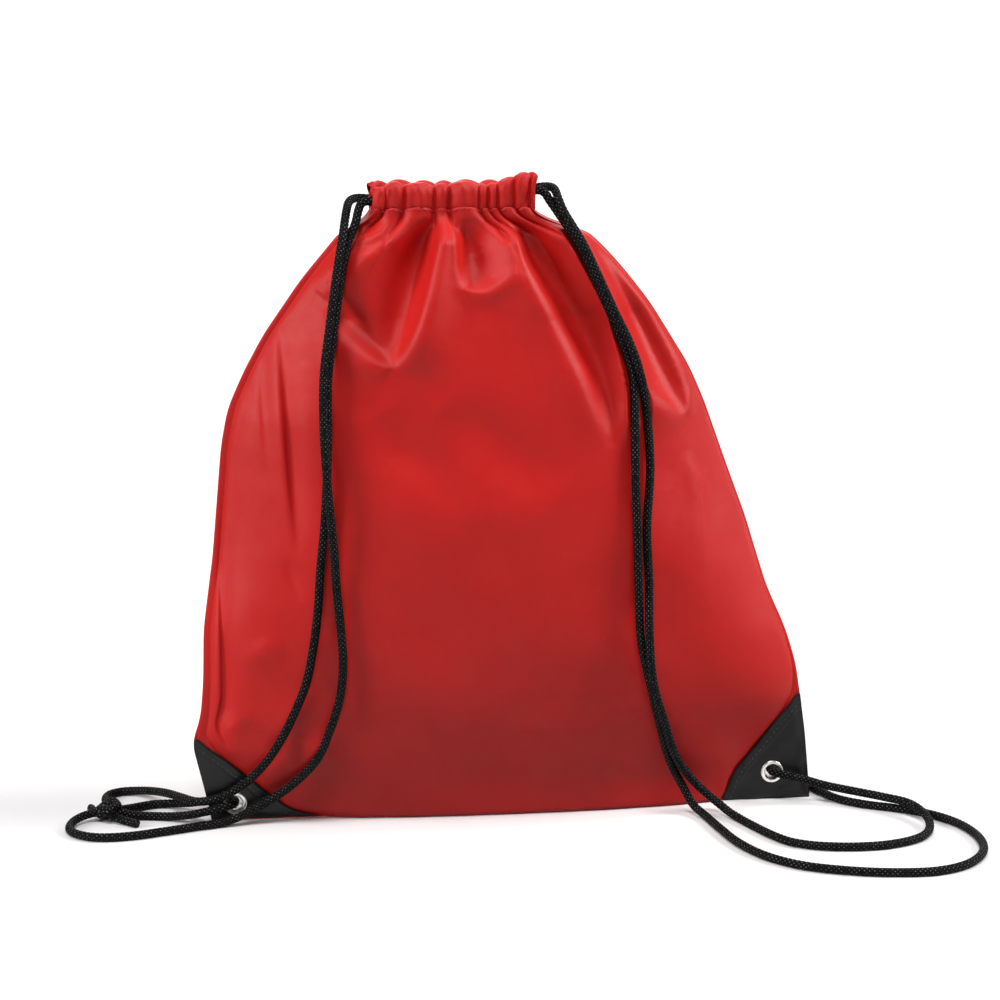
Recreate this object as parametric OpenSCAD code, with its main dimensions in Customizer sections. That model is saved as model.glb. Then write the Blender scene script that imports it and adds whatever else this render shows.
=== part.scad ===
// Drawstring backpack: a gathered fabric sack standing on its own base, drawn shut by two cords.
// Z is up, X runs to the right, and the front faces -Y. The origin is on the floor under the middle
// of the base. All sizes are in millimetres.

/* [Fabric] */
// Thickness of the fabric shell
fabric_t = 1.2; // [0.8:0.1:1.4]
// Gap between sewn layers that lie on each other
layer_gap = 0.2; // [0.1:0.05:0.2]
// Width of the flat sewn margin along both sides
margin_w = 4; // [3:0.5:5]
// How far the front stands out where the bag is fullest
front_belly = 51; // [44:1:54]
// How far the back stands out where the bag is fullest
back_belly = 53; // [44:1:56]

/* [Neck and casings] */
// Left end of the gathered neck
neck_left = -70; // [-74:1:-66]
// Right end of the gathered neck
neck_right = 15; // [12:1:18]
// Underside of the drawstring casings
casing_z = 338; // [338:1:340]
// Height of the drawstring casings
casing_h = 13; // [12.5:0.5:14]
// How much higher the bunched-up right end of the front casing stands
shoulder_h = 6; // [2:0.5:7]
// Width of that bunched-up end
shoulder_w = 13; // [8:1:16]
// Depth of the flat sewn band of a casing, front to back
casing_depth = 8.8; // [8.8:0.1:10]
// How far the pleats of a casing stand out
pleat_rise = 2.4; // [0:0.1:3]
// Number of pleats along a casing
pleat_count = 9; // [5:1:12]
// Half width of the mouth left open between the casings
mouth_half = 5.2; // [5:0.1:5.4]

/* [Cords] */
// Diameter of the braided cord
cord_d = 4.6; // [4:0.1:4.8]
// Number of sides of a cord solid
cord_sides = 10; // [8:1:12]
// Distance from the mid plane to the cord inside a casing
casing_run_y = 9.4; // [9.2:0.1:9.6]
// Height of the left cord inside the casings
left_run_z = 342; // [341.9:0.1:342.1]
// Height of the right cord inside the casings
right_run_z = 347; // [346.9:0.1:347.1]

/* [Corner patches] */
// Width of the left patch along the base
left_patch_w = 62; // [56:1:64]
// Height of the left patch up the side
left_patch_h = 46; // [42:1:50]
// Width of the right patch along the base
right_patch_w = 50; // [46:1:54]
// Height of the right patch up the side
right_patch_h = 60; // [54:1:62]
// Thickness of a patch
patch_t = 0.9; // [0.6:0.1:1.2]

/* [Eyelets] */
// Outer diameter of the eyelet flange
eyelet_d = 13; // [12:0.5:14]
// Diameter of the hole through the eyelet
eyelet_hole_d = 8; // [7.5:0.1:8.2]
// Thickness of the eyelet flange
flange_t = 0.9; // [0.6:0.1:1.2]
// Wall of the eyelet barrel
barrel_wall = 0.45; // [0.3:0.05:0.5]

/* [Hidden] */

$fn = 48;
red = [0.78, 0.15, 0.16];
dark_red = [0.60, 0.10, 0.11];
black = [0.11, 0.11, 0.12];
cord_black = [0.07, 0.07, 0.07];
nickel = [0.78, 0.78, 0.76];
cord_r = cord_d / 2;

// Side outlines as [height, x]
left_outline = [[0, -164], [20, -168], [46, -174], [60, -169], [80, -167], [110, -166], [150, -160],
                [210, -154], [230, -150], [250, -141], [270, -130], [300, -109], [320, -92],
                [338, -77]];
right_outline = [[0, 176], [40, 172], [60, 169], [80, 166], [100, 160], [125, 149], [165, 137],
                 [200, 124], [230, 113], [250, 104], [285, 82], [305, 66], [320, 52], [330, 39],
                 [338, 29]];

// How far the front and the back stand out at the middle, as [height, share of the belly]
front_outline = [[0, 0.39], [15, 0.53], [40, 0.70], [80, 0.90], [120, 1], [160, 1], [200, 0.96],
                 [240, 0.82], [280, 0.63], [310, 0.45], [338, 0.27]];
back_outline = [[0, 0.38], [15, 0.53], [40, 0.72], [80, 0.92], [120, 1], [160, 1], [200, 0.94],
                [240, 0.79], [280, 0.60], [310, 0.43], [338, 0.26]];

// The seam plane: the sewn corners sit forward of the middle, and the sides rise back to it
corner_y = -14;
corner_top = 60;
seam_rise_top = 200;
function smooth(t) = t * t * (3 - 2 * t);
function clamp01(t) = max(0, min(1, t));
function seam_y(z) = corner_y * (1 - smooth(clamp01((z - corner_top) / (seam_rise_top - corner_top))));

// Flat width beside each outline: the corner triangle low down, the sewn margin above it
function flat_w(w, h, z) = max(margin_w, w * (1 - z / h));
function swell_left(z) = lookup(z, left_outline) + flat_w(left_patch_w, left_patch_h, z);
function swell_right(z) = lookup(z, right_outline) - flat_w(right_patch_w, right_patch_h, z);

// Crown of the cloth across the bag: 0 at the edge of the swelling, 1 in the middle, and squarer
// towards the neck
function crown(u, z) = pow(1 - pow(min(1, abs(u)), 2.4 + 4 * clamp01((z - 280) / 60)), 0.75);

// Distance of a panel from the seam plane, where side is -1 at the front and 1 at the back
function reach(side, z) = side < 0
    ? front_belly * lookup(z, front_outline) + seam_y(z)
    : back_belly * lookup(z, back_outline) - seam_y(z);

// The inner face of a panel, at u from -1 to 1 across its swelling
function inner_y(side, u, z) = seam_y(z) + side * (layer_gap / 2 + reach(side, z) * crown(u, z));

// ---- Panels ----
flat_columns = 2;
swell_columns = 20;
panel_columns = swell_columns + 2 * flat_columns;
panel_rows = [0, 8, 15, 25, 36, 46, 54, 60, 72, 84, 98, 112, 128, 145, 165, 185, 205, 225, 240, 255,
              270, 285, 300, 312, 325, casing_z - layer_gap];

// Place across the bag of column i at height z, as [x, u]
function column(i, z) =
    let (xl = swell_left(z), xr = swell_right(z))
    i < flat_columns
        ? let (xe = lookup(z, left_outline)) [xe + (xl - xe) * i / flat_columns, -1]
    : i > panel_columns - flat_columns
        ? let (xe = lookup(z, right_outline))
          [xe - (xe - xr) * (panel_columns - i) / flat_columns, 1]
    : let (u = sin(180 * (i - flat_columns) / swell_columns - 90))
      [(xl + xr) / 2 + u * (xr - xl) / 2, u];

function panel_face(side, out) = [
    for (z = panel_rows, i = [0 : panel_columns])
        let (c = column(i, z)) [c[0], inner_y(side, c[1], z) + side * out, z]];

// A closed sheet from two faces with the same grid of points, the second behind the first
module sheet_solid(face_a, face_b, cols, rows) {
    per_row = cols + 1;
    n = per_row * (rows + 1);
    function at(i, j) = j * per_row + i;
    quads_a = [for (j = [0 : rows - 1], i = [0 : cols - 1])
        each [[at(i, j), at(i + 1, j + 1), at(i + 1, j)], [at(i, j), at(i, j + 1), at(i + 1, j + 1)]]];
    quads_b = [for (f = quads_a) [n + f[0], n + f[2], n + f[1]]];
    sides = [for (j = [0 : rows - 1])
        each [[at(0, j), n + at(0, j), n + at(0, j + 1), at(0, j + 1)],
              [at(cols, j), at(cols, j + 1), n + at(cols, j + 1), n + at(cols, j)]]];
    ends = [for (i = [0 : cols - 1])
        each [[at(i, 0), at(i + 1, 0), n + at(i + 1, 0), n + at(i, 0)],
              [at(i, rows), n + at(i, rows), n + at(i + 1, rows), at(i + 1, rows)]]];
    polyhedron(points = concat(face_a, face_b), faces = concat(quads_a, quads_b, sides, ends));
}

module panel(side) {
    near = panel_face(side, side < 0 ? fabric_t : 0);
    far = panel_face(side, side < 0 ? 0 : fabric_t);
    difference() {
        sheet_solid(near, far, panel_columns, len(panel_rows) - 1);
        eyelet_bore(left_eyelet_x, left_eyelet_z);
        eyelet_bore(right_eyelet_x, right_eyelet_z);
    }
}

module front_panel() { color(red) panel(-1); }
module back_panel() { color(dark_red) panel(1); }

// The strip of the body cloth that is folded under and lies on the floor
fold_gap = 0.4;
fold_reach = 0.96;
fold_steps = 24;
function fold_point(side, k) =
    let (u = fold_reach * sin(180 * k / fold_steps - 90),
         x = (swell_left(0) + swell_right(0)) / 2 + u * (swell_right(0) - swell_left(0)) / 2)
    [x, inner_y(side, u, 0) - side * fold_gap];

module bottom_fold() {
    front_edge = [for (k = [0 : fold_steps]) fold_point(-1, k)];
    back_edge = [for (k = [fold_steps : -1 : 0]) fold_point(1, k)];
    color(dark_red) linear_extrude(fabric_t) polygon(concat(front_edge, back_edge));
}

// ---- Side seams: the turned-in allowance inside each sewn edge ----
seam_rows = [64 : 12 : 328];
seam_start = 2.5;
seam_w = 7;
seam_t = 1;

module side_seam(hand) {
    function edge(z) = hand < 0 ? swell_left(z) + seam_start : swell_right(z) - seam_start;
    function face(y) = [for (z = seam_rows, i = [0 : 1]) [edge(z) - hand * seam_w * i, seam_y(z) + y, z]];
    rows = len([for (z = seam_rows) z]) - 1;
    if (hand < 0) sheet_solid(face(-seam_t / 2), face(seam_t / 2), 1, rows);
    else sheet_solid(face(seam_t / 2), face(-seam_t / 2), 1, rows);
}

module left_side_seam() { color(dark_red) side_seam(-1); }
module right_side_seam() { color(dark_red) side_seam(1); }

// ---- Drawstring casings: a pleated hem with a long hole for both cords ----
neck_w = neck_right - neck_left;
band_h = 2.5;
slot_w = 5.4;
slot_h = right_run_z - left_run_z + slot_w;
slot_z = (left_run_z + right_run_z) / 2;
end_cut = 12;
pleat_steps = 8;

module casing_slot() {
    translate([neck_left - 1, casing_run_y, slot_z]) rotate([90, 0, 90])
        linear_extrude(neck_w + 2) union() {
            square([slot_w, slot_h - slot_w], center = true);
            for (s = [-1, 1]) translate([0, s * (slot_h - slot_w) / 2]) circle(d = slot_w);
        }
}

// The pleated outline seen from above, on the back side of the bag
module casing_outline(rise) {
    steps = pleat_count * pleat_steps;
    pleats = [for (k = [steps : -1 : 0])
        [neck_left + neck_w * k / steps,
         mouth_half + casing_depth + rise * (1 - cos(360 * k / pleat_steps)) / 2]];
    polygon(concat([[neck_left, mouth_half], [neck_right, mouth_half]], pleats));
}

module casing() {
    difference() {
        union() {
            translate([0, 0, casing_z]) linear_extrude(band_h) casing_outline(0);
            translate([0, 0, casing_z + band_h]) linear_extrude(casing_h - band_h)
                casing_outline(pleat_rise);
        }
        casing_slot();
        // the wall towards the mouth stops short, so that a cord can cross from one casing to the other
        for (x = [neck_left - 1, neck_right - end_cut])
            translate([x, mouth_half - 1, slot_z - slot_h / 2])
                cube([end_cut + 1, casing_run_y - mouth_half + 1, slot_h]);
    }
}

module back_casing() { color(dark_red) casing(); }
module front_casing() {
    color(red) mirror([0, 1, 0]) union() {
        casing();
        translate([0, 0, casing_z + casing_h - 1]) linear_extrude(shoulder_h + 1)
            intersection() {
                casing_outline(pleat_rise);
                translate([neck_right - shoulder_w, 0]) square([shoulder_w + 1, 40]);
            }
    }
}

// ---- Stitches ----
stitch_l = 2;
stitch_w = 0.5;
stitch_t = 0.35;
stitch_gap = 0.1;
stitch_pitch = 3.2;

module casing_stitching() {
    count = floor(neck_w / stitch_pitch) - 1;
    for (k = [0 : count])
        translate([neck_left + stitch_pitch * (k + 0.5),
                   mouth_half + casing_depth + stitch_gap, casing_z + band_h / 2 - stitch_w])
            cube([stitch_l, stitch_t, stitch_w]);
}

module back_casing_stitching() { color(dark_red) casing_stitching(); }
module front_casing_stitching() { color(dark_red) mirror([0, 1, 0]) casing_stitching(); }

// ---- Corner patches: triangles of coated cloth on both faces of the sewn corners ----
patch_face = layer_gap / 2 + fabric_t + layer_gap;
patch_inset = 1;
left_eyelet_x = -151;
left_eyelet_z = 11;
right_eyelet_x = 153;
right_eyelet_z = 17;
bore_d = eyelet_hole_d + 2 * barrel_wall + 0.6;

module eyelet_bore(x, z) {
    translate([x, corner_y, z]) rotate([90, 0, 0])
        cylinder(d = bore_d, h = 20, center = true);
}

// A patch outline in x and z, inset from the flat corner triangle at its slanted edge
module patch_outline(outline, hand, w, h) {
    x0 = lookup(0, outline);
    xm = lookup(h / 2, outline);
    xt = lookup(h - patch_inset, outline);
    polygon([[x0, 0], [xm, h / 2], [xt, h - patch_inset],
             [x0 - hand * (w - patch_inset), 0]]);
}

module patch(side, outline, hand, w, h, ex, ez) {
    difference() {
        translate([0, corner_y + side * (patch_face + patch_t / 2) + patch_t / 2, 0]) rotate([90, 0, 0])
            linear_extrude(patch_t) patch_outline(outline, hand, w, h);
        eyelet_bore(ex, ez);
    }
}

module left_patch(side) {
    patch(side, left_outline, -1, left_patch_w, left_patch_h, left_eyelet_x, left_eyelet_z);
}
module right_patch(side) {
    patch(side, right_outline, 1, right_patch_w, right_patch_h, right_eyelet_x, right_eyelet_z);
}
module left_front_patch() { color(black) left_patch(-1); }
module left_back_patch() { color(black) left_patch(1); }
module right_front_patch() { color(black) right_patch(-1); }
module right_back_patch() { color(black) right_patch(1); }

// A row of stitches on both faces, along the slanted edge of a patch
seam_inset = 3;
module patch_stitching(outline, hand, w, h) {
    foot = [lookup(0, outline) - hand * w, 0];
    head = [lookup(h, outline), h];
    run = head - foot;
    along = run / norm(run);
    outward = hand * [along[1], -along[0]];
    count = floor(norm(run) / stitch_pitch) - 4;
    for (side = [-1, 1], k = [2 : count]) {
        p = foot + along * stitch_pitch * (k + 0.5) + outward * seam_inset;
        translate([p[0], corner_y + side * (patch_face + patch_t + stitch_gap + stitch_t / 2), p[1]])
            rotate([0, -atan2(along[1], along[0]), 0])
                cube([stitch_l, stitch_t, stitch_w], center = true);
    }
}

module left_patch_stitching() {
    color(cord_black) patch_stitching(left_outline, -1, left_patch_w, left_patch_h);
}
module right_patch_stitching() {
    color(cord_black) patch_stitching(right_outline, 1, right_patch_w, right_patch_h);
}

// ---- Eyelets: a flanged barrel pushed in from the front, and a washer at the back ----
stack = patch_face + patch_t + 0.1;
washer_clear = 0.1;

module eyelet(x, z) {
    r = eyelet_hole_d / 2;
    translate([x, corner_y, z]) rotate([90, 0, 0]) rotate_extrude() {
        translate([r, -stack - flange_t]) square([barrel_wall, 2 * stack + flange_t]);
        translate([r, stack]) difference() {
            union() {
                square([eyelet_d / 2 - r - flange_t / 2, flange_t]);
                translate([eyelet_d / 2 - r - flange_t / 2, flange_t / 2]) circle(d = flange_t);
            }
            translate([eyelet_d / 2, -1]) square([1, 3]);
        }
    }
}

module eyelet_washer(x, z) {
    inner_r = eyelet_hole_d / 2 + barrel_wall + washer_clear;
    translate([x, corner_y + stack, z]) rotate([-90, 0, 0]) rotate_extrude()
        translate([inner_r, 0]) square([eyelet_d / 2 - inner_r, flange_t]);
}

module left_eyelet() { color(nickel) eyelet(left_eyelet_x, left_eyelet_z); }
module right_eyelet() { color(nickel) eyelet(right_eyelet_x, right_eyelet_z); }
module left_eyelet_washer() { color(nickel) eyelet_washer(left_eyelet_x, left_eyelet_z); }
module right_eyelet_washer() { color(nickel) eyelet_washer(right_eyelet_x, right_eyelet_z); }

// ---- Cords ----
floor_z = 2.4;
steps_per_span = 2;

function unit(v) = v / norm(v);

// A smooth curve through the points: place t of the way from b to c, with neighbours a and d
function through(a, b, c, d, t) =
    0.5 * (2 * b + (c - a) * t + (2 * a - 5 * b + 4 * c - d) * t * t
           + (3 * b - a - 3 * c + d) * t * t * t);

function smooth_route(p, steps) =
    let (last = len(p) - 1)
    concat([for (i = [0 : last - 1], s = [0 : steps - 1])
                through(p[max(0, i - 1)], p[i], p[i + 1], p[min(last, i + 2)], s / steps)],
           [p[last]]);

function tangents(p) = [for (i = [0 : len(p) - 1])
    unit(p[min(len(p) - 1, i + 1)] - p[max(0, i - 1)])];

// The side direction of each ring, carried along the route so that the tube doesn't twist
function carried(t, i, n) = i == len(t) ? []
    : let (m = unit(n - (n * t[i]) * t[i])) concat([m], carried(t, i + 1, m));

module tube(p, d) {
    t = tangents(p);
    start = abs(t[0][2]) > 0.8 ? [1, 0, 0] : [0, 0, 1];
    n = carried(t, 0, start);
    points = [for (i = [0 : len(p) - 1], k = [0 : cord_sides - 1])
        let (a = 360 * (k + 0.5) / cord_sides)
        p[i] + d / 2 * (cos(a) * n[i] + sin(a) * cross(t[i], n[i]))];
    last = (len(p) - 1) * cord_sides;
    walls = [for (i = [0 : len(p) - 2], k = [0 : cord_sides - 1])
        let (a = i * cord_sides + k, b = i * cord_sides + (k + 1) % cord_sides)
        each [[a, a + cord_sides, b], [b, a + cord_sides, b + cord_sides]]];
    caps = [[for (k = [0 : cord_sides - 1]) k],
            [for (k = [cord_sides - 1 : -1 : 0]) last + k]];
    polyhedron(points = points, faces = concat(walls, caps));
}

module cord(route) {
    color(cord_black) tube(smooth_route(route, steps_per_span), cord_d);
}

// Inside the casings each cord runs out along one side of the mouth and back along the other
run_exit = 2;
bend_steps = 8;
run_steps = 6;
module casing_run(x_exit, x_bend, z) {
    hand = x_bend > x_exit ? 1 : -1;
    out = [for (k = [0 : run_steps - 1])
        [x_exit + (x_bend - x_exit) * k / run_steps, -casing_run_y, z]];
    bend = [for (k = [0 : bend_steps])
        [x_bend + hand * casing_run_y * sin(180 * k / bend_steps),
         -casing_run_y * cos(180 * k / bend_steps), z]];
    home = [for (k = [1 : run_steps])
        [x_bend + (x_exit - x_bend) * k / run_steps, casing_run_y, z]];
    color(cord_black) tube(concat(out, bend, home), cord_d);
}

bend_setback = end_cut - 1;
module left_cord_casing_run() {
    casing_run(neck_left - run_exit, neck_right - bend_setback, left_run_z);
}
module right_cord_casing_run() {
    casing_run(neck_right + run_exit, neck_left + bend_setback, right_run_z);
}

// Routes outside the casings, each from its end at the neck to the knot
left_front_route = [
    [-72.2, -9.4, 342], [-74.7, -9.4, 341.9], [-76.9, -9.8, 340.5], [-78.3, -10.9, 337.2],
    [-80, -13.4, 331.2], [-82.6, -15.4, 325], [-85.3, -17.6, 318.5], [-87.9, -20.4, 308],
    [-90.1, -24, 294], [-93.7, -29, 272], [-97, -34.4, 250], [-97.6, -39.2, 226], [-98.7, -42.6, 198],
    [-100.5, -43.6, 172], [-103, -44.2, 149], [-104.7, -44.6, 127], [-107.5, -43.6, 106],
    [-111.5, -41.6, 86], [-118.2, -38.2, 68], [-125.7, -34.6, 52], [-134, -29.6, 38], [-144, -24, 26],
    [-154, -21.4, 18.5], [-164, -20.8, 14.6], [-172.6, -16.4, 12.8], [-180.6, -3, 10.8],
    [-189, 13, 8.2], [-198, 26, 5.4], [-206.5, 34, 3.2], [-215, 36, 2.4], [-222, 31.5, 2.4],
    [-224, 23, 2.4], [-221.8, 12.5, 3], [-219.6, 2.8, 4.6]];
left_back_route = [
    [-72.2, 9.4, 342], [-76.6, 9, 342.3], [-80.6, 6.4, 342.6], [-83.4, 1.8, 342], [-84.8, -3.8, 339.2],
    [-85.8, -11, 335], [-87, -18.2, 326.5], [-88.8, -22.6, 317], [-91.5, -26.8, 303],
    [-95.7, -32.2, 277], [-99.3, -38.3, 252], [-100, -43.8, 227], [-99.3, -47.8, 206],
    [-97.9, -49.6, 184], [-95.9, -49.4, 161], [-94.6, -48.8, 138], [-92.7, -48.2, 116],
    [-91.8, -46.8, 96], [-94, -44, 76], [-99.2, -40.2, 58], [-105.5, -36.2, 42], [-116, -30, 28],
    [-129, -25, 16.5], [-142, -23, 8.6], [-156, -24.4, 3.2], [-172, -28, 2.4], [-190, -34, 2.4],
    [-208, -39, 2.4], [-224, -39.5, 2.4], [-235.5, -34, 2.4], [-241.5, -24.5, 2.4],
    [-240.5, -14.5, 2.8], [-236, -8.8, 3.8], [-229.6, -6.2, 4.8]];
left_loop_route = [
    [-213.6, -6.6, 4.4], [-207, -7, 2.8], [-198, -8, 2.4], [-187, -11, 2.8], [-177, -17, 5.2],
    [-168.5, -21.8, 8.2], [-160.2, -23.2, 10.4], [-155.4, -21.8, 11], [-152.2, -18.6, 11],
    [-151, -14, 11], [-152.2, -9.4, 11], [-155.4, -6.2, 10.9], [-160.2, -4.8, 10.2],
    [-168, -2.6, 8], [-177, 3.4, 5.2], [-187, 10, 3], [-197, 11.5, 2.4], [-206, 6.8, 2.8],
    [-213.4, -0.6, 4.4]];
right_front_route = [
    [17.3, -9.4, 347], [20, -9.4, 346.8], [22.4, -9.8, 345.2], [24.4, -10.9, 341.9],
    [29.2, -13.9, 334.6], [39.9, -20, 318], [47.2, -24, 302], [52.9, -26.2, 288.5], [59.1, -27.2, 274],
    [64.3, -28.4, 261], [67.6, -31.8, 246], [67.8, -37.4, 222], [67.3, -43.6, 193], [67.9, -48.2, 163],
    [68.6, -50.2, 134], [70.1, -50, 107], [76.7, -47, 78], [83.4, -41.6, 53], [90, -36, 32],
    [98.6, -32.4, 15], [104, -35, 5.4], [109, -46, 2.4], [112.5, -66, 2.4], [117.5, -89, 2.4],
    [127, -110, 2.4], [142, -126, 2.4], [162, -136, 2.4], [186, -142.5, 2.4], [211, -143.5, 2.4],
    [231, -135, 2.4], [244.5, -118, 2.4], [249, -97, 2.4], [245, -75, 2.4], [234, -58, 2.4],
    [218, -46, 2.4], [203, -38, 2.4], [190, -27, 2.4], [183, -13, 2.4], [178.6, -4, 3],
    [173.4, 0.6, 4.8]];
right_back_route = [
    [17.3, 9.4, 347], [20.6, 9.1, 347.2], [23.6, 7, 347.7], [25.6, 3.2, 348], [27.2, -1.8, 347.8],
    [28, -8.4, 346.6], [28.8, -15.4, 342.4], [31.4, -19.6, 335.6], [40.6, -26, 319.5], [48.6, -30, 302],
    [56.8, -32, 284], [65.1, -32.6, 267], [70.2, -34.2, 252.5], [74.6, -32.6, 232], [76, -39, 200],
    [73.5, -45.4, 168], [74.5, -48.2, 138], [74.1, -53.2, 112], [76.6, -53, 84], [84.5, -47.3, 58],
    [92.4, -40.6, 36], [104.8, -32.4, 18], [118, -35, 6], [126, -50, 2.4], [140, -83, 2.4],
    [152, -96, 2.4], [172, -102.4, 2.4], [195, -102.5, 2.4], [215, -95, 2.4], [225.5, -83, 2.8],
    [228.5, -68, 5], [223.5, -53, 7.4], [211, -41, 7.8], [197, -32, 8.6], [182, -26, 10.6],
    [170, -24, 14], [161.4, -23, 16], [156.2, -21.2, 17], [153.3, -17.4, 17], [153.2, -11, 17],
    [155.8, -6.6, 15.8], [161, -2.2, 12.6]];

module left_cord_front_strand() { cord(left_front_route); }
module left_cord_back_strand() { cord(left_back_route); }
module left_cord_eyelet_loop() { cord(left_loop_route); }
module right_cord_front_strand() { cord(right_front_route); }
module right_cord_back_strand() { cord(right_back_route); }

// The outer shape of a tied knot: a flattened ball with two short tails lying on the floor
knot_r = 7;
module knot(center, tails) {
    color(cord_black) {
        translate(center) scale([1, 1, 0.8]) sphere(r = knot_r, $fn = 20);
        for (t = tails) tube(smooth_route(t, 1), cord_d);
    }
}

left_knot_center = [-221, -6, 5.8];
left_tails = [[[-217, -10, 3.4], [-211, -15, 2.4], [-205, -20, 2.4]],
              [[-225, -1, 3.4], [-230, 5, 2.4], [-232, 12, 2.4]]];
right_knot_center = [165, 1.4, 5.8];
right_tails = [[[169, 6, 3.4], [175, 11, 2.4], [178, 17, 2.4]],
               [[160, 5, 3.4], [154, 9, 2.4], [148, 14, 2.4]]];

module left_knot() { knot(left_knot_center, left_tails); }
module right_knot() { knot(right_knot_center, right_tails); }

front_panel();
back_panel();
bottom_fold();
left_side_seam();
right_side_seam();
front_casing();
back_casing();
front_casing_stitching();
back_casing_stitching();
left_front_patch();
left_back_patch();
right_front_patch();
right_back_patch();
left_patch_stitching();
right_patch_stitching();
left_eyelet();
left_eyelet_washer();
right_eyelet();
right_eyelet_washer();
left_cord_casing_run();
right_cord_casing_run();
left_cord_front_strand();
left_cord_back_strand();
left_cord_eyelet_loop();
left_knot();
right_cord_front_strand();
right_cord_back_strand();
right_knot();
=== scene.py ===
import math

import bmesh
import bpy
import numpy as np
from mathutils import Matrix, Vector


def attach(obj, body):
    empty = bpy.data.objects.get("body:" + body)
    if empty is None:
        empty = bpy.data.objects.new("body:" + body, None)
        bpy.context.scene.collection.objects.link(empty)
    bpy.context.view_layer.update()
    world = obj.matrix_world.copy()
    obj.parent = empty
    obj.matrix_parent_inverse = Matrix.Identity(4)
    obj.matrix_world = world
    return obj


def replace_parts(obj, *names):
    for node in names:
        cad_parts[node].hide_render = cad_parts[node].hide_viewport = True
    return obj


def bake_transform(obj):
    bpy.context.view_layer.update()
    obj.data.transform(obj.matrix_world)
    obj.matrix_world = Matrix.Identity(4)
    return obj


# A drawstring backpack of red polyester, in metres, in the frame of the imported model: +Z is up and
# the front faces -Y. FRONT and BACK say which of the two body panels a function works on.
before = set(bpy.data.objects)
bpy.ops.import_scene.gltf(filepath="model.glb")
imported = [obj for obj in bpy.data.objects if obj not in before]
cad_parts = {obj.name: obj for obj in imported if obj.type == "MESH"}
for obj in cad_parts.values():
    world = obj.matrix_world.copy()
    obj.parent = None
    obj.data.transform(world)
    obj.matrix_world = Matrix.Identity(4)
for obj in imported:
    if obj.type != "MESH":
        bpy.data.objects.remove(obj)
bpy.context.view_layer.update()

FRONT, BACK = -1, 1
LEFT, RIGHT = -1, 1

# ---- Sizes ----
# Thickness of the cord, the body cloth, the patches and the CAD's cloth, and the gap between layers
CORD_D = 0.0046
CORD_R = CORD_D / 2
CLOTH_T = 0.0004
PATCH_T = 0.0006
SHELL_T = 0.0012
LAYER_GAP = 0.0002

# The sack: its sewn margins, how far the middle of each panel stands out and how round it is, where the
# panels end at the casings, and how the seams are brought forward at the corners
MARGIN_W = 0.004
FLAT_MARGIN = {LEFT: 0.004, RIGHT: 0.001}
FRONT_BELLY = 0.051
BACK_BELLY = 0.053
BELLY_SOFTEN = 0.022
CROWN_POWER = 2.4
CROWN_EASE = 0.75
PANEL_TOP = 0.338
CORNER_Y = -0.014
CORNER_TOP = 0.060
SEAM_RISE_TOP = 0.200
FLOOR_Z = 0.0

# The neck: its two ends, the height of each cord inside the casings, and where each one turns back
NECK_LEFT = -0.070
NECK_RIGHT = 0.015
RUN_Y = 0.0094
LEFT_RUN_Z = 0.342
RIGHT_RUN_Z = 0.347
LEFT_RUN_BEND = -0.006
RIGHT_RUN_BEND = -0.049

# Heights at which, going up to the neck, the rounded edges get thinner, the cloth is pressed flatter
# for the casing, the sewn edges draw in, and the folds fade out
THIN_EDGE_FROM = 0.318
PINCH_FROM = 0.320
DRAW_IN_FROM = 0.322
FOLDS_FADE_FROM = 0.330

# Corner patches, as (width along the base, height up the side)
PATCH_SIZE = {LEFT: (0.062, 0.049), RIGHT: (0.050, 0.063)}
# a patch's width at each height, both as shares of its size
PATCH_SHAPE = {LEFT: [(0, 1.0), (0.03, 0.95), (0.09, 0.77), (0.16, 0.67), (0.32, 0.54), (0.5, 0.415),
                      (0.75, 0.23), (1, 0)],
               RIGHT: [(0, 1.0), (0.1, 0.95), (0.2, 0.905), (0.31, 0.82), (0.62, 0.46), (1, 0)]}

# Eyelets: their centres as (x, z), the flange and the hole, how far the flange's seat is from the seam
# plane, and how near to a centre a cord no longer presses the cloth in
EYELET_AT = {LEFT: (-0.151, 0.011), RIGHT: (0.153, 0.017)}
EYELET_R = 0.0065
EYELET_HOLE_R = 0.004
STACK = 0.0025
EYELET_KEEP = 0.014

# How far inside the casing a hanging strand takes over from the run inside it
RUN_INSET = 0.0045

# Braid: diamonds round the cord, the length of one, how proud it stands, and the rings of the mesh
BRAID_CELLS = 6
BRAID_PITCH = 0.0026
BRAID_RISE = 0.00035
CORD_SIDES = 24
RING_STEP = 0.00065
# how much narrower a cord gets at a melted end
END_TAPER = 0.35

# Knots: radius of the looped ring, and how far it weaves in and out
KNOT_RING = 0.0040
KNOT_WAVE = 0.0020

# Side seams: from what height to what height, and the allowance's inner and outer distance from the seam
SEAM_SPAN = (0.064, 0.328)
ALLOWANCE = (0.0025, 0.0095)

# Cloth details: the weave and the coating's grain, and the radii of the rounded edges
WEAVE_PERIOD = 0.0005
GRAIN_SIZE = 0.0009
EDGE_ROUND = 0.0035
BOTTOM_ROUND = 0.003

# The section of a fold: how much its rise is raised, and the shape of its slope and of its crest
FOLD_GAIN = 1.15
FOLD_SHARPNESS = 1.55
FOLD_REACH = 1.1
FOLD_ROUNDED = 0.22

# Unevenness of the panels as (height, size), and the gap between a cord and the cloth under it
SLOW_WAVES = (0.0007, 0.07)
FINE_WAVES = (0.00007, 0.02)
GROOVE_GAP = 0.0003

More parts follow.
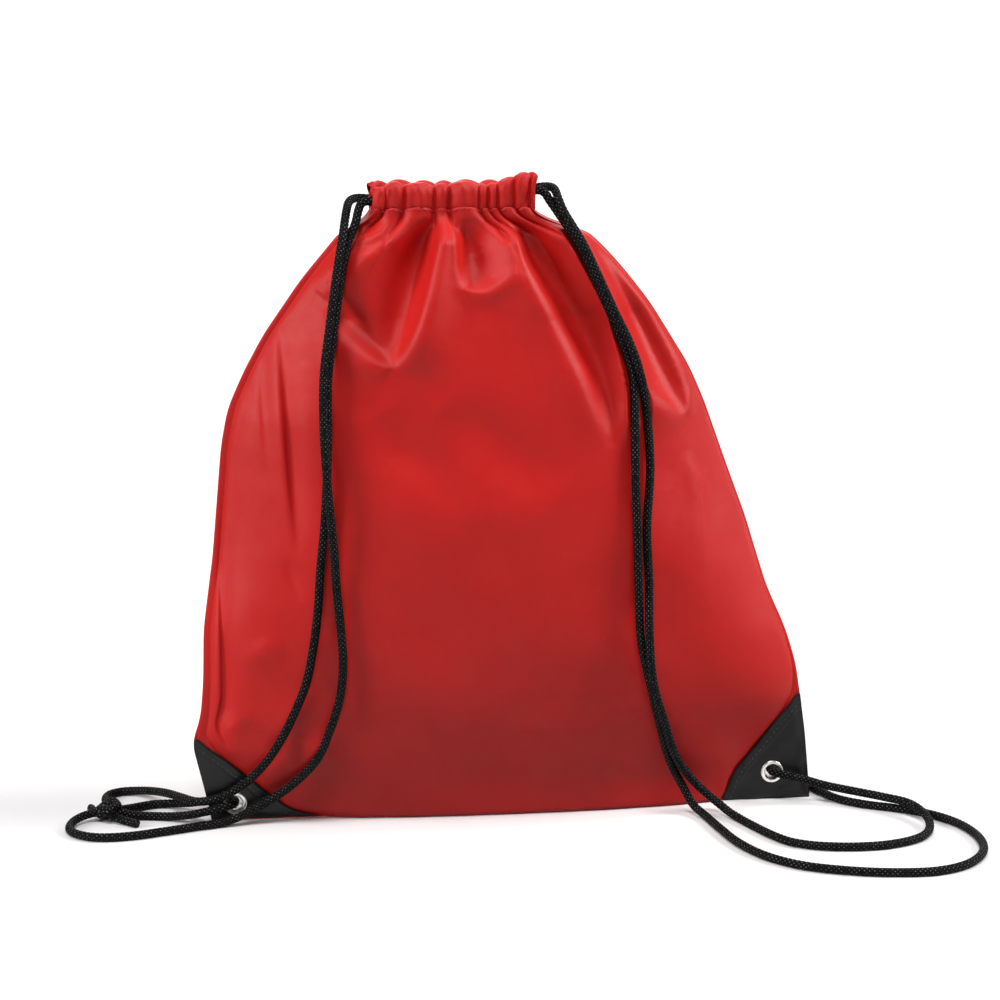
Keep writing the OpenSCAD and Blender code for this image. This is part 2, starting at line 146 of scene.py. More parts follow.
# Casings and gathers: the width of a full lobe, the step and the wave of the casing's seam, the section of
# the casing, how far it goes past the neck's ends, and the small folds under it
WIDE_LOBE = 0.016
LEDGE = 0.00015
SEAM_WAVE = 0.0020
CASING_OUT = 0.0124
LOBE_DEPTH = 0.0046
CASING_IN = 0.0060
CASING_DIP = 0.0028
NECK_OVERHANG = 0.0012
GATHER_DEPTH = 0.0060
GATHER_LENGTH = 0.022

# Stitches: thickness, length, distance from one to the next, and from the patch's edge
STITCH_R = 0.0003
STITCH_L = 0.0021
STITCH_PITCH = 0.0032
STITCH_INSET = 0.003

# Patches: how far over the floor each one starts
PATCH_LIFT = {LEFT: 0.0010, RIGHT: 0.0}

# Relief of a patch: height over the seam plane at its edges and in its middle, the width in which it
# rises, the hem, its unevenness, and where the body cloth is kept below it and past its slant
PATCH_EDGE = 0.0008
PATCH_FULL = 0.0024
PATCH_RISE_W = 0.007
HEM_RISE = 0.0003
HEM_W = 0.005
PATCH_CRUMPLE = 0.00032
PATCH_CRINKLE = 0.00008
UNDER_PATCH = 0.0003
CLEAR_REACH = 0.050

# Camera: what it looks at, from which side and how far, and its lens and sensor in mm
CAMERA_TARGET = (-0.001, 0.0, 0.1755)
CAMERA_AZIMUTH = -7
CAMERA_ELEVATION = 12
CAMERA_DISTANCE = 1.31
LENS = 85
SENSOR = 36

# Lights from far away: name, azimuth (0 is the front), elevation, strength and spread, in degrees
LIGHTS = [("top_light", -8, 68, 1.72, 20), ("left_light", -75, 26, 1.95, 22),
          ("right_light", 83, 34, 2.55, 24), ("back_light", 172, 30, 0.90, 60),
          ("low_fill", -7, -32, 0.38, 60)]
SKY_STRENGTH = 0.10
FLOOR_HALF = 4000.0

# ---- Outlines of the sack, as (height, value) ----
LEFT_OUTLINE = [
    (0, -0.164), (0.02, -0.168), (0.046, -0.174), (0.06, -0.169), (0.08, -0.167), (0.11, -0.166),
    (0.15, -0.16), (0.21, -0.154), (0.23, -0.15), (0.25, -0.141), (0.27, -0.13), (0.3, -0.109),
    (0.32, -0.092), (0.338, -0.077)]
RIGHT_OUTLINE = [
    (0, 0.176), (0.04, 0.172), (0.06, 0.169), (0.08, 0.166), (0.1, 0.16), (0.125, 0.149), (0.165, 0.137),
    (0.2, 0.124), (0.23, 0.113), (0.25, 0.104), (0.285, 0.082), (0.305, 0.066), (0.32, 0.052),
    (0.33, 0.039), (0.338, 0.029)]
FRONT_OUTLINE = [
    (0, 0.39), (0.015, 0.53), (0.04, 0.7), (0.08, 0.9), (0.12, 1), (0.16, 1), (0.2, 0.96), (0.24, 0.82),
    (0.28, 0.63), (0.31, 0.45), (0.338, 0.27)]
BACK_OUTLINE = [
    (0, 0.38), (0.015, 0.53), (0.04, 0.72), (0.08, 0.92), (0.12, 1), (0.16, 1), (0.2, 0.94), (0.24, 0.79),
    (0.28, 0.6), (0.31, 0.43), (0.338, 0.26)]

OUTLINE = {LEFT: LEFT_OUTLINE, RIGHT: RIGHT_OUTLINE}

# ---- The gathered neck: where its creases are, and the height of its top edge, as (x, height) ----
FRONT_CREASES = [-0.0715, -0.064, -0.054, -0.038, -0.03, -0.014, -0.009, -0.004, 0.005, 0.013, 0.017]
BACK_CREASES = [-0.0715, -0.061, -0.047, -0.035, -0.025, -0.011, 0.001, 0.009, 0.017]
FRONT_CASING_TOP = [
    (-0.071, 0.3484), (-0.066, 0.3512), (-0.06, 0.3536), (-0.054, 0.3526), (-0.049, 0.352),
    (-0.034, 0.3522), (-0.025, 0.3526), (-0.014, 0.3524), (-0.009, 0.352), (-0.004, 0.353), (0, 0.3542),
    (0.004, 0.3564), (0.009, 0.358), (0.0165, 0.3578)]
BACK_CASING_TOP = [(-0.071, 0.3514), (-0.058, 0.3524), (-0.045, 0.3518), (0, 0.352), (0.016, 0.353)]

# ---- Folds, each a line of (x, height, rise, width on its left, width on its right), in mm ----
MM_PER_M = 1000
FRONT_FOLDS = [
    # the sharp ridge left of the middle, and the deep valley along its left side
    [(-33, 338, 4, 3, 5), (-36.5, 321, 7.5, 3, 9), (-43, 296, 8.5, 3, 12), (-51, 273, 6, 3, 14),
     (-61, 256, 0, 3, 12)],
    [(-38.5, 337, -5, 7, 3), (-45, 315, -11, 14, 4), (-53, 290, -11, 15, 5), (-60, 268, -6, 10, 4),
     (-63.5, 256, 0, 6, 3)],
    # a rounded swelling left of it, and the lower fold that runs into the same point
    [(-52, 336, 4, 8, 6), (-64, 322, 6, 12, 8), (-82, 310, 5, 14, 12), (-104, 298, 0, 14, 12)],
    [(-94, 289, -2, 8, 5), (-84, 281, -5, 9, 6), (-73, 269, -4, 8, 5), (-64, 257, 0, 6, 4)],
    [(-96, 279, 2, 6, 6), (-84, 268, 3.5, 10, 6), (-74, 260, 3, 10, 5), (-64, 254.5, 0, 8, 4)],
    # small tucks under the left end of the neck
    [(-60, 339, -1.6, 3, 3), (-66, 332, -3, 3, 4), (-74, 324, 0, 3, 3)],
    [(-58, 330, 0, 2, 2), (-70, 321, -2, 3, 3), (-84, 317, 0, 2, 3)],
    # the spoon-shaped hollow in the middle, and its rim
    [(-21.5, 338, -4, 4, 7), (-20, 324, -7.5, 5, 11), (-19, 311, -7.5, 6, 11), (-20, 302, -3.5, 6, 9),
     (-21, 296, 0, 5, 6)],
    [(-28.5, 330, 1.5, 2, 2), (-27, 315, 2.6, 3, 3), (-26.5, 305, 2, 4, 3), (-22, 296.5, 1.2, 5, 3),
     (-12, 295, 2, 6, 4), (-2, 301, 2, 6, 4), (4, 309, 0, 6, 4)],
    # the long ridge that runs down to the right, and the dark valley beyond it
    [(-10, 339, 2, 4, 3), (-3, 333, 4, 7, 3), (4.5, 323, 6.5, 11, 3), (8, 310, 7.5, 13, 4),
     (16, 296, 8, 16, 5), (27, 277, 7, 18, 6), (42, 246, 4.5, 18, 7), (55, 214, 0, 14, 7)],
    [(-3, 339, -3, 3, 4), (8.5, 327, -6.5, 4, 8), (17, 310, -11, 5, 11), (31, 285, -11, 6, 12),
     (44, 258, -9, 6, 11), (53, 232, -5, 6, 9), (57, 212, 0, 5, 5)],
    # a small tuck beside the neck, between the two ridges
    [(-7.5, 337, -2, 2.5, 2), (-2, 327, -3.5, 3, 2), (1, 320, 0, 3, 2)],
    # the second ridge to the right, under the cords
    [(10, 337, 3, 5, 3), (28, 328, 5, 6, 4), (46, 309, 7, 6, 5), (59, 281, 8, 6, 6), (66, 250, 7, 6, 7),
     (65, 230, 4, 6, 7), (58, 212.5, 0, 5, 6)],
    # the valley on the right shoulder, with a rim on each side, which meet in a point
    [(46, 322, -2, 4, 6), (62, 296, -5, 6, 8), (74, 272, -7, 7, 8), (86, 247, -6.5, 7, 7),
     (98, 224.5, 0, 4, 4)],
    [(60, 314, 1, 4, 5), (76, 294, 3.5, 5, 6), (90, 277, 5, 5, 6), (100.5, 258, 6, 5, 6),
     (105, 240, 4.5, 5, 6), (100, 223, 0, 4, 6)],
    [(64, 264, 1, 10, 3), (76, 242.5, 3.4, 12, 3), (87.5, 231, 3.4, 12, 3), (99, 222.5, 0, 8, 3)],
    [(98, 204, 0, 6, 3), (105, 188, 1.6, 8, 3), (107, 150, 1, 12, 6), (110, 110, 0, 12, 10)],
    # broad, soft hollows in the middle
    [(-36, 236, 0, 14, 14), (-20, 222, -3, 18, 14), (4, 206, -3.5, 20, 14), (26, 188, 0, 16, 14)],
    [(-70, 232, 0, 12, 12), (-58, 214, -3, 14, 12), (-36, 196, -2, 14, 12), (-20, 184, 0, 12, 12)],
    # narrow creases down the left side, and the pulled cloth beside them
    [(-121, 274, -0.6, 2, 5), (-119, 238, -2.2, 2.2, 6), (-117, 196, -2.2, 2.2, 6), (-114, 153, 0, 2, 5)],
    [(-124, 268, 0.4, 4, 2.2), (-122.5, 236, 1.4, 5, 2.2), (-120, 196, 1.2, 5, 2.2),
     (-117, 158, 0, 4, 2)],
    [(-131, 268, -0.4, 2, 4), (-131, 237, -1.4, 2, 5), (-129, 200, 0, 2, 4)],
    [(-121, 154, 0, 3, 3), (-118, 144, -1.2, 3, 3), (-113, 130, 0, 3, 3)],
    [(-153.5, 232, 0, 1, 3), (-154.5, 190, -1.6, 1, 4), (-156.5, 148, -2.4, 1, 5),
     (-156, 105, -2.6, 1, 6), (-156.5, 72, -2.4, 1, 6), (-159.5, 56, -2, 1, 5), (-152, 42, 0, 1, 4)],
    [(-157, 200, 0, 3, 1.5), (-159.5, 148, 1.2, 3, 1.5), (-159, 100, 1.4, 3, 1.5),
     (-160.5, 64, 0, 3, 1.5)],
    # the hollow and the small swellings beside the left corner
    [(-148, 60, 0, 8, 8), (-138, 50, -3.4, 10, 10), (-124, 44, -1.6, 10, 10), (-112, 40, 0, 8, 8)],
    [(-146, 92, 0, 6, 6), (-134, 102, 1.8, 8, 6), (-122, 108, 0, 6, 6)],
    [(-116, 56, 0, 8, 6), (-106, 44, 2.2, 10, 7), (-94, 34, 0, 8, 6)],
    # slack above the left patch
    [(-104, 106, 0, 4, 4), (-96, 120, -1, 4, 4), (-86, 133, 0, 4, 4)],
    [(-140, 48, 1, 8, 8), (-120, 62, 1.6, 10, 10), (-98, 80, 0, 10, 10)],
    # faint creases from when the bag lay folded
    [(-113, 173, 0, 1.2, 1.2), (-60, 174, -0.1, 1.2, 1.2), (40, 172, -0.1, 1.2, 1.2),
     (80, 171, 0, 1.2, 1.2)],
    [(-147, 77, 0, 1.2, 1.2), (-80, 76, -0.08, 1.2, 1.2), (80, 71, -0.08, 1.2, 1.2),
     (131, 70, 0, 1.2, 1.2)],
    [(-20, 299, 0, 1.2, 1.2), (-21, 275, -0.12, 1.2, 1.2), (-22, 250, 0, 1.2, 1.2)]]

BACK_FOLDS = [
    [(-52, 336, 3, 5, 6), (-62, 310, 4.5, 8, 6), (-78, 276, 3.6, 11, 7), (-96, 236, 0, 12, 8)],
    [(-42, 336, -3.5, 5, 5), (-49, 312, -6, 6, 9), (-60, 280, -5, 7, 10), (-70, 246, 0, 8, 8)],
    [(-28, 337, 3, 6, 5), (-32, 312, 4.8, 9, 6), (-38, 280, 4, 11, 8), (-46, 240, 1.2, 12, 10),
     (-52, 206, 0, 10, 10)],
    [(-16, 336, -3, 5, 5), (-16, 310, -5.2, 6, 8), (-14, 278, -3.6, 9, 9), (-12, 246, 0, 8, 8)],
    [(-4, 336, 2.5, 5, 5), (4, 312, 4.2, 7, 6), (16, 276, 4, 10, 7), (30, 232, 0, 12, 10)],
    [(6, 335, -2.5, 4, 5), (20, 308, -4.6, 6, 8), (36, 274, -3.6, 8, 10), (50, 238, 0, 8, 10)],
    [(20, 334, 2, 5, 5), (36, 312, 3, 7, 6), (56, 282, 2.8, 9, 8), (80, 244, 0, 10, 10)],
    [(-128, 270, 0, 3, 4), (-130, 220, -1.8, 4, 6), (-128, 160, 0, 3, 5)],
    [(118, 190, 0, 4, 4), (122, 150, -1.8, 6, 4), (132, 100, 0, 5, 4)],
    [(-60, 60, 0, 8, 8), (-30, 44, 1.6, 10, 10), (10, 40, 0, 8, 8)],
    [(-150, 120, 0, 1.2, 1.2), (-60, 122, -0.1, 1.2, 1.2), (60, 121, -0.1, 1.2, 1.2),
     (140, 120, 0, 1.2, 1.2)]]

# ---- Routes of the cords outside the casings, each from the neck to its knot ----
LEFT_FRONT_ROUTE = [
    (-0.0722, -0.0094, 0.342), (-0.0747, -0.0094, 0.3419), (-0.0769, -0.0098, 0.3405),
    (-0.0783, -0.0109, 0.3372), (-0.08, -0.0134, 0.3312), (-0.0826, -0.0154, 0.325),
    (-0.0853, -0.0176, 0.3185), (-0.0879, -0.0204, 0.308), (-0.0901, -0.024, 0.294),
    (-0.0937, -0.029, 0.272), (-0.097, -0.0344, 0.25), (-0.0976, -0.0392, 0.226),
    (-0.0987, -0.0426, 0.198), (-0.1005, -0.0436, 0.172), (-0.103, -0.0442, 0.149),
    (-0.1047, -0.0446, 0.127), (-0.1075, -0.0436, 0.106), (-0.1115, -0.0416, 0.086),
    (-0.1182, -0.0382, 0.068), (-0.1257, -0.0346, 0.052), (-0.134, -0.0296, 0.038),
    (-0.144, -0.024, 0.026), (-0.154, -0.0214, 0.0185), (-0.164, -0.0208, 0.0146),
    (-0.1726, -0.0164, 0.0128), (-0.1806, -0.003, 0.0108), (-0.189, 0.013, 0.0082),
    (-0.198, 0.026, 0.0054), (-0.2065, 0.034, 0.0032), (-0.215, 0.036, 0.0024), (-0.222, 0.0315, 0.0024),
    (-0.224, 0.023, 0.0024), (-0.2218, 0.0125, 0.003), (-0.2196, 0.0028, 0.0046)]
LEFT_BACK_ROUTE = [
    (-0.0722, 0.0094, 0.342), (-0.0766, 0.009, 0.3423), (-0.0802, 0.0064, 0.342),
    (-0.0826, 0.0018, 0.3406), (-0.084, -0.0038, 0.3376), (-0.0854, -0.011, 0.3328),
    (-0.087, -0.0182, 0.3255), (-0.0888, -0.0226, 0.317), (-0.0915, -0.0268, 0.303),
    (-0.0957, -0.0322, 0.277), (-0.0993, -0.0383, 0.252), (-0.1, -0.0438, 0.227),
    (-0.0993, -0.0478, 0.206), (-0.0979, -0.0496, 0.184), (-0.0959, -0.0494, 0.161),
    (-0.0946, -0.0488, 0.138), (-0.0927, -0.0482, 0.116), (-0.0918, -0.0468, 0.096),
    (-0.094, -0.044, 0.076), (-0.0992, -0.0402, 0.058), (-0.1055, -0.0362, 0.042), (-0.116, -0.03, 0.028),
    (-0.129, -0.025, 0.0165), (-0.142, -0.023, 0.0086), (-0.156, -0.0244, 0.0032),
    (-0.172, -0.028, 0.0024), (-0.19, -0.034, 0.0024), (-0.208, -0.039, 0.0024),
    (-0.224, -0.0395, 0.0024), (-0.2355, -0.034, 0.0024), (-0.2415, -0.0245, 0.0024),
    (-0.2405, -0.0145, 0.0028), (-0.236, -0.0088, 0.0038), (-0.2296, -0.0062, 0.0048)]
LEFT_LOOP_ROUTE = [
    (-0.2136, -0.0066, 0.0044), (-0.207, -0.007, 0.0028), (-0.198, -0.008, 0.0024),
    (-0.187, -0.011, 0.0028), (-0.177, -0.017, 0.0052), (-0.1685, -0.0218, 0.0082),
    (-0.1602, -0.0232, 0.0104), (-0.1554, -0.0218, 0.011), (-0.1522, -0.0186, 0.011),
    (-0.151, -0.014, 0.011), (-0.1522, -0.0094, 0.011), (-0.1554, -0.0062, 0.0109),
    (-0.1602, -0.0048, 0.0102), (-0.168, -0.0026, 0.008), (-0.177, 0.0034, 0.0052), (-0.187, 0.01, 0.003),
    (-0.197, 0.0115, 0.0024), (-0.206, 0.0068, 0.0028), (-0.2134, -0.0006, 0.0044)]
RIGHT_FRONT_ROUTE = [
    (0.0173, -0.0094, 0.347), (0.02, -0.0094, 0.3468), (0.0224, -0.0098, 0.3452),
    (0.0244, -0.0109, 0.3419), (0.0292, -0.0139, 0.3346), (0.0399, -0.02, 0.318), (0.0472, -0.024, 0.302),
    (0.0529, -0.0262, 0.2885), (0.0591, -0.0272, 0.274), (0.0643, -0.0284, 0.261),
    (0.0676, -0.0318, 0.246), (0.0678, -0.0374, 0.222), (0.0673, -0.0436, 0.193),
    (0.0679, -0.0482, 0.163), (0.0686, -0.0502, 0.134), (0.0701, -0.05, 0.107), (0.0767, -0.047, 0.078),
    (0.0834, -0.0416, 0.053), (0.09, -0.036, 0.032), (0.0986, -0.0324, 0.015), (0.104, -0.035, 0.0054),
    (0.109, -0.046, 0.0024), (0.1125, -0.066, 0.0024), (0.1175, -0.089, 0.0024), (0.127, -0.11, 0.0024),
    (0.142, -0.126, 0.0024), (0.162, -0.136, 0.0024), (0.186, -0.1425, 0.0024), (0.211, -0.1435, 0.0024),
    (0.231, -0.135, 0.0024), (0.2445, -0.118, 0.0024), (0.249, -0.097, 0.0024), (0.245, -0.075, 0.0024),
    (0.234, -0.058, 0.0024), (0.218, -0.046, 0.0024), (0.203, -0.038, 0.0024), (0.19, -0.027, 0.0024),
    (0.183, -0.013, 0.0024), (0.1786, -0.004, 0.003), (0.1734, 0.0006, 0.0048)]
RIGHT_BACK_ROUTE = [
    (0.0173, 0.0094, 0.347), (0.0206, 0.0091, 0.3472), (0.0236, 0.007, 0.3477), (0.0256, 0.0032, 0.348),
    (0.0272, -0.0018, 0.3478), (0.028, -0.0084, 0.3466), (0.0288, -0.0154, 0.3424),
    (0.0314, -0.0196, 0.3356), (0.0406, -0.026, 0.3195), (0.0486, -0.03, 0.302), (0.0568, -0.032, 0.284),
    (0.0651, -0.0326, 0.267), (0.0702, -0.0342, 0.2525), (0.0746, -0.0326, 0.232), (0.076, -0.039, 0.2),
    (0.0735, -0.0454, 0.168), (0.0745, -0.0482, 0.138), (0.0741, -0.0532, 0.112), (0.0766, -0.053, 0.084),
    (0.0845, -0.0473, 0.058), (0.0924, -0.0406, 0.036), (0.1048, -0.0324, 0.018), (0.118, -0.035, 0.006),
    (0.126, -0.05, 0.0024), (0.14, -0.083, 0.0024), (0.152, -0.096, 0.0024), (0.172, -0.1024, 0.0024),
    (0.195, -0.1025, 0.0024), (0.215, -0.095, 0.0024), (0.2255, -0.083, 0.0028), (0.2285, -0.068, 0.005),
    (0.2235, -0.053, 0.0074), (0.211, -0.041, 0.0078), (0.197, -0.032, 0.0086), (0.182, -0.026, 0.0106),
    (0.17, -0.024, 0.014), (0.1614, -0.023, 0.016), (0.1562, -0.0212, 0.017), (0.1533, -0.0174, 0.017),
    (0.1532, -0.011, 0.017), (0.1558, -0.0066, 0.0158), (0.161, -0.0022, 0.0126)]

LEFT_KNOT = (-0.221, -0.006, 0.0058)
LEFT_TAILS = [[(-0.217, -0.010, 0.0034), (-0.211, -0.015, 0.0024), (-0.205, -0.020, 0.0024)],
              [(-0.225, -0.001, 0.0034), (-0.230, 0.005, 0.0024), (-0.232, 0.012, 0.0024)]]
RIGHT_KNOT = (0.165, 0.0014, 0.0058)
RIGHT_TAILS = [[(0.169, 0.006, 0.0034), (0.175, 0.011, 0.0024), (0.178, 0.017, 0.0024)],
               [(0.160, 0.005, 0.0034), (0.154, 0.009, 0.0024), (0.148, 0.014, 0.0024)]]

# ---- Curves and lookups ----
def smooth(t):
    """A smooth step from 0 to 1."""
    t = np.clip(t, 0, 1)
    return t * t * (3 - 2 * t)


def lookup(table, z, soften=0.006):
    """Value of a (height, value) table at z, with its corners rounded over a few millimetres."""
    heights, values = np.array(table).T
    shifts = np.linspace(-soften, soften, 7)
    return np.mean([np.interp(z + s, heights, values) for s in shifts], axis=0)


def outline_x(hand, z):
    """x of the sack's outline on the given side."""
    return lookup(OUTLINE[hand], z)


def curve_through(points, per_span=12):
    """A smooth curve through points of any dimension, as many samples per span."""
    p = np.array(points, float)
    p = np.vstack([p[:1], p, p[-1:]])
    t = np.linspace(0, 1, per_span, endpoint=False)[:, None]
    spans = []
    for a, b, c, d in zip(p[:-3], p[1:-2], p[2:-1], p[3:]):
        spans.append(0.5 * (2 * b + (c - a) * t + (2 * a - 5 * b + 4 * c - d) * t ** 2
                            + (3 * b - a - 3 * c + d) * t ** 3))
    return np.vstack(spans + [p[-1:]])


def evenly_spaced(path, step):
    """The same path with its points a fixed step apart."""
    reach = np.concatenate([[0], np.cumsum(np.linalg.norm(np.diff(path, axis=0), axis=1))])
    wanted = np.linspace(0, reach[-1], max(2, int(round(reach[-1] / step)) + 1))
    return np.stack([np.interp(wanted, reach, column) for column in path.T], axis=1)


def ripple(x, z, size, seed, waves=7):
    """Soft random unevenness of about 1 high, with waves of about the given size."""
    random = np.random.default_rng(seed)
    total = np.zeros_like(x)
    for _ in range(waves):
        angle = random.uniform(0, math.pi)
        length = size * random.uniform(0.7, 1.6)
        phase = random.uniform(0, 2 * math.pi)
        along = x * math.cos(angle) + z * math.sin(angle)
        total += np.sin(2 * math.pi * along / length + phase)
    return total / waves ** 0.5


# ---- Mesh helpers ----
def add_object(name, vertices, faces, uv=None, material=None):
    """A smooth-shaded mesh object, with one uv pair per vertex."""
    mesh = bpy.data.meshes.new(name)
    mesh.from_pydata(np.asarray(vertices).tolist(), [], faces)
    mesh.shade_smooth()
    if uv is not None:
        corner = np.zeros(len(mesh.loops), int)
        mesh.loops.foreach_get("vertex_index", corner)
        layer = mesh.uv_layers.new(name="UVMap")
        layer.data.foreach_set("uv", np.asarray(uv)[corner].ravel())
    obj = bpy.data.objects.new(name, mesh)
    bpy.context.scene.collection.objects.link(obj)
    if material is not None:
        mesh.materials.append(material)
    return obj


def grid_faces(rows, columns, wrap=False, flip=False, keep=None):
    """Quads of a grid of points stored row by row. keep says which quads stay."""
    last = columns if wrap else columns - 1
    j, i = np.meshgrid(np.arange(rows - 1), np.arange(last), indexing="ij")
    near = j * columns + i
    beside = j * columns + (i + 1) % columns
    quads = np.stack([near, beside, beside + columns, near + columns], axis=-1)
    if flip:
        quads = quads[..., ::-1]
    if keep is not None:
        return quads[keep].tolist()
    return quads.reshape(-1, 4).tolist()


def face_outwards(obj):
    """Turns the faces of closed solids to face outwards."""
    shape = bmesh.new()
    shape.from_mesh(obj.data)
    bmesh.ops.recalc_face_normals(shape, faces=shape.faces)
    shape.to_mesh(obj.data)
    shape.free()


def thicken(obj, thickness):
    """Gives a cloth face its thickness, on the inner side."""
    solidify = obj.modifiers.new("thickness", "SOLIDIFY")
    solidify.thickness = thickness
    solidify.offset = -1
    return obj


def cloth_grid(name, x, y, z, uv, material, thickness, **how):
    """Cloth on a grid of points, with its uv as a pair of arrays. how goes to grid_faces."""
    points = np.stack(np.broadcast_arrays(x, y, z), axis=-1)
    faces = grid_faces(*points.shape[:2], **how)
    uv = np.stack(np.broadcast_arrays(*uv), axis=-1).reshape(-1, 2)
    return thicken(add_object(name, points.reshape(-1, 3), faces, uv, material), thickness)


def sides_along(path):
    """Two directions across a path at each point, carried along it without twisting."""
    ahead = np.gradient(path, axis=0)
    ahead /= np.linalg.norm(ahead, axis=1)[:, None]
    first = np.array([0, 0, 1.0]) if abs(ahead[0][2]) < 0.8 else np.array([1.0, 0, 0])
    across = []
    for direction in ahead:
        first = first - direction * (first @ direction)
        first = first / np.linalg.norm(first)
        across.append(first)
    across = np.array(across)
    return across, np.cross(ahead, across)


def tube(name, path, radius, around, relief=None, material=None, cell_length=0.003, cells=1):
    """A closed tube on a path. radius is one number or one for each point of the path.

    relief(around share, along cells) gives how far the surface stands in or out there.
    """
    path = np.asarray(path)
    rings = len(path)
    side_a, side_b = sides_along(path)
    reach = np.concatenate([[0], np.cumsum(np.linalg.norm(np.diff(path, axis=0), axis=1))])
    turn = np.linspace(0, 1, around, endpoint=False)
    angle = 2 * math.pi * turn
    along = reach / cell_length
    r = np.broadcast_to(np.asarray(radius, float), (rings,))[:, None] * np.ones((1, around))
    if relief is not None:
        r = r + relief(turn[None, :] * cells, along[:, None])
    points = (path[:, None, :]
              + r[..., None] * (np.cos(angle)[None, :, None] * side_a[:, None, :]
                                + np.sin(angle)[None, :, None] * side_b[:, None, :]))
    vertices = np.vstack([points.reshape(-1, 3), path[:1], path[-1:]])
    faces = grid_faces(rings, around, wrap=True)
    last = (rings - 1) * around
    start_cap, end_cap = rings * around, rings * around + 1
    for k in range(around):
        following = (k + 1) % around
        faces.append([start_cap, following, k])
        faces.append([end_cap, last + k, last + following])
    grid_uv = np.stack(np.broadcast_arrays(turn[None, :] * cells, along[:, None]), axis=-1)
    uv = np.vstack([grid_uv.reshape(-1, 2), [[0, 0]], [[0, along[-1]]]])
    return add_object(name, vertices, faces, uv, material)


# ---- Material helpers ----
class Shader:
    """Short calls for building one material from nodes."""

    def __init__(self, name):
        self.material = bpy.data.materials.new(name)
        self.material.use_nodes = True
        self.tree = self.material.node_tree
        self.surface = self.tree.nodes["Principled BSDF"]

    def set(self, **values):
        for name, value in values.items():
            self.surface.inputs[name.replace("_", " ")].default_value = value

    def link(self, output, name):
        self.tree.links.new(output, self.surface.inputs[name])

    def node(self, kind, inputs=(), **settings):
        """A node with its settings, and its inputs as (name, value or output) pairs."""
        made = self.tree.nodes.new("ShaderNode" + kind)
        for name, value in settings.items():
            setattr(made, name, value)
        for name, value in inputs:
            if isinstance(value, bpy.types.NodeSocket):
                self.tree.links.new(value, made.inputs[name])
            else:
                made.inputs[name].default_value = value
        return made

    def math(self, operation, a, b=0.0):
        return self.node("Math", [(0, a), (1, b)], operation=operation).outputs[0]

    def mix(self, share, a, b):
        """A colour from a to b by share."""
        made = self.node("Mix", [(0, share), (6, a), (7, b)], data_type="RGBA")
        return made.outputs[2]

    def scale(self, value, low, high, out_low=0.0, out_high=1.0):
        inputs = [(0, value), (1, low), (2, high), (3, out_low), (4, out_high)]
        return self.node("MapRange", inputs).outputs[0]

    def noise(self, size, detail=3.0, stretch=(1, 1, 1)):
        """Noise in object space, where size is the size of its features in metres."""
        place = self.node("TexCoord").outputs["Object"]
        place = self.node("Mapping", [("Vector", place), ("Scale", stretch)]).outputs[0]
        inputs = [("Vector", place), ("Scale", 1 / size), ("Detail", detail)]
        return self.node("TexNoise", inputs).outputs[0]

    def uv(self):
        place = self.node("TexCoord").outputs["UV"]
        split = self.node("SeparateXYZ", [(0, place)])
        return split.outputs[0], split.outputs[1]

    def wave(self, value, period):
        """A sine of the value, from -1 to 1, that repeats each period."""
        return self.math("SINE", self.math("MULTIPLY", value, 2 * math.pi / period))

    def bump(self, height, distance, strength=1.0, normal=None):
        inputs = [("Height", height), ("Distance", distance), ("Strength", strength)]
        if normal is not None:
            inputs.append(("Normal", normal))
        return self.node("Bump", inputs).outputs[0]


def rgb(red, green, blue):
    return (red, green, blue, 1.0)


# ---- Materials ----
def red_polyester():
    """Satin polyester: a fine plain weave, soft crumples, and a little colour variation."""
    s = Shader("red_polyester")
    across, along = s.uv()
    weave = s.math("MULTIPLY", s.wave(across, WEAVE_PERIOD), s.wave(along, WEAVE_PERIOD))
    threads = s.scale(s.noise(0.0006, 2.0, (1, 1, 0.15)), 0.3, 0.7)
    crumple = s.noise(0.009, 4.0)
    patches = s.scale(s.noise(0.05, 3.0), 0.35, 0.65)
    colour = s.mix(patches, rgb(0.600, 0.0120, 0.0100), rgb(0.660, 0.0150, 0.0125))
    lines = s.scale(weave, -1, 1, 0.0, 0.18)
    colour = s.mix(lines, colour, rgb(0.46, 0.008, 0.007))
    colour = s.mix(s.math("MULTIPLY", threads, 0.12), colour, rgb(0.74, 0.036, 0.030))
    s.link(colour, "Base Color")
    s.link(s.scale(crumple, 0.3, 0.7, 0.34, 0.44), "Roughness")
    normal = s.bump(crumple, 0.0012, 0.22)
    normal = s.bump(weave, 0.00004, 0.5, normal)
    s.link(normal, "Normal")
    s.set(Sheen_Weight=0.02, Sheen_Roughness=0.35, Sheen_Tint=rgb(1.0, 0.30, 0.25),
          Specular_IOR_Level=0.26)
    return s.material


def black_coated_cloth():
    """Coated cloth for the patches: a fine leather grain, paler where it is rubbed."""
    s = Shader("black_coated_cloth")
    place = s.node("TexCoord").outputs["Object"]
    grain = s.node("TexVoronoi", [("Vector", place), ("Scale", 1 / GRAIN_SIZE)]).outputs[0]
    rub = s.scale(s.noise(0.012, 4.0), 0.45, 0.75)
    s.link(s.mix(rub, rgb(0.0040, 0.0040, 0.0045), rgb(0.0095, 0.0095, 0.0105)), "Base Color")
    s.link(s.scale(rub, 0, 1, 0.34, 0.50), "Roughness")
    normal = s.bump(s.noise(0.004, 3.0), 0.0003, 0.25)
    s.link(s.bump(grain, 0.00010, 0.4, normal), "Normal")
    s.set(Specular_IOR_Level=0.28)
    return s.material


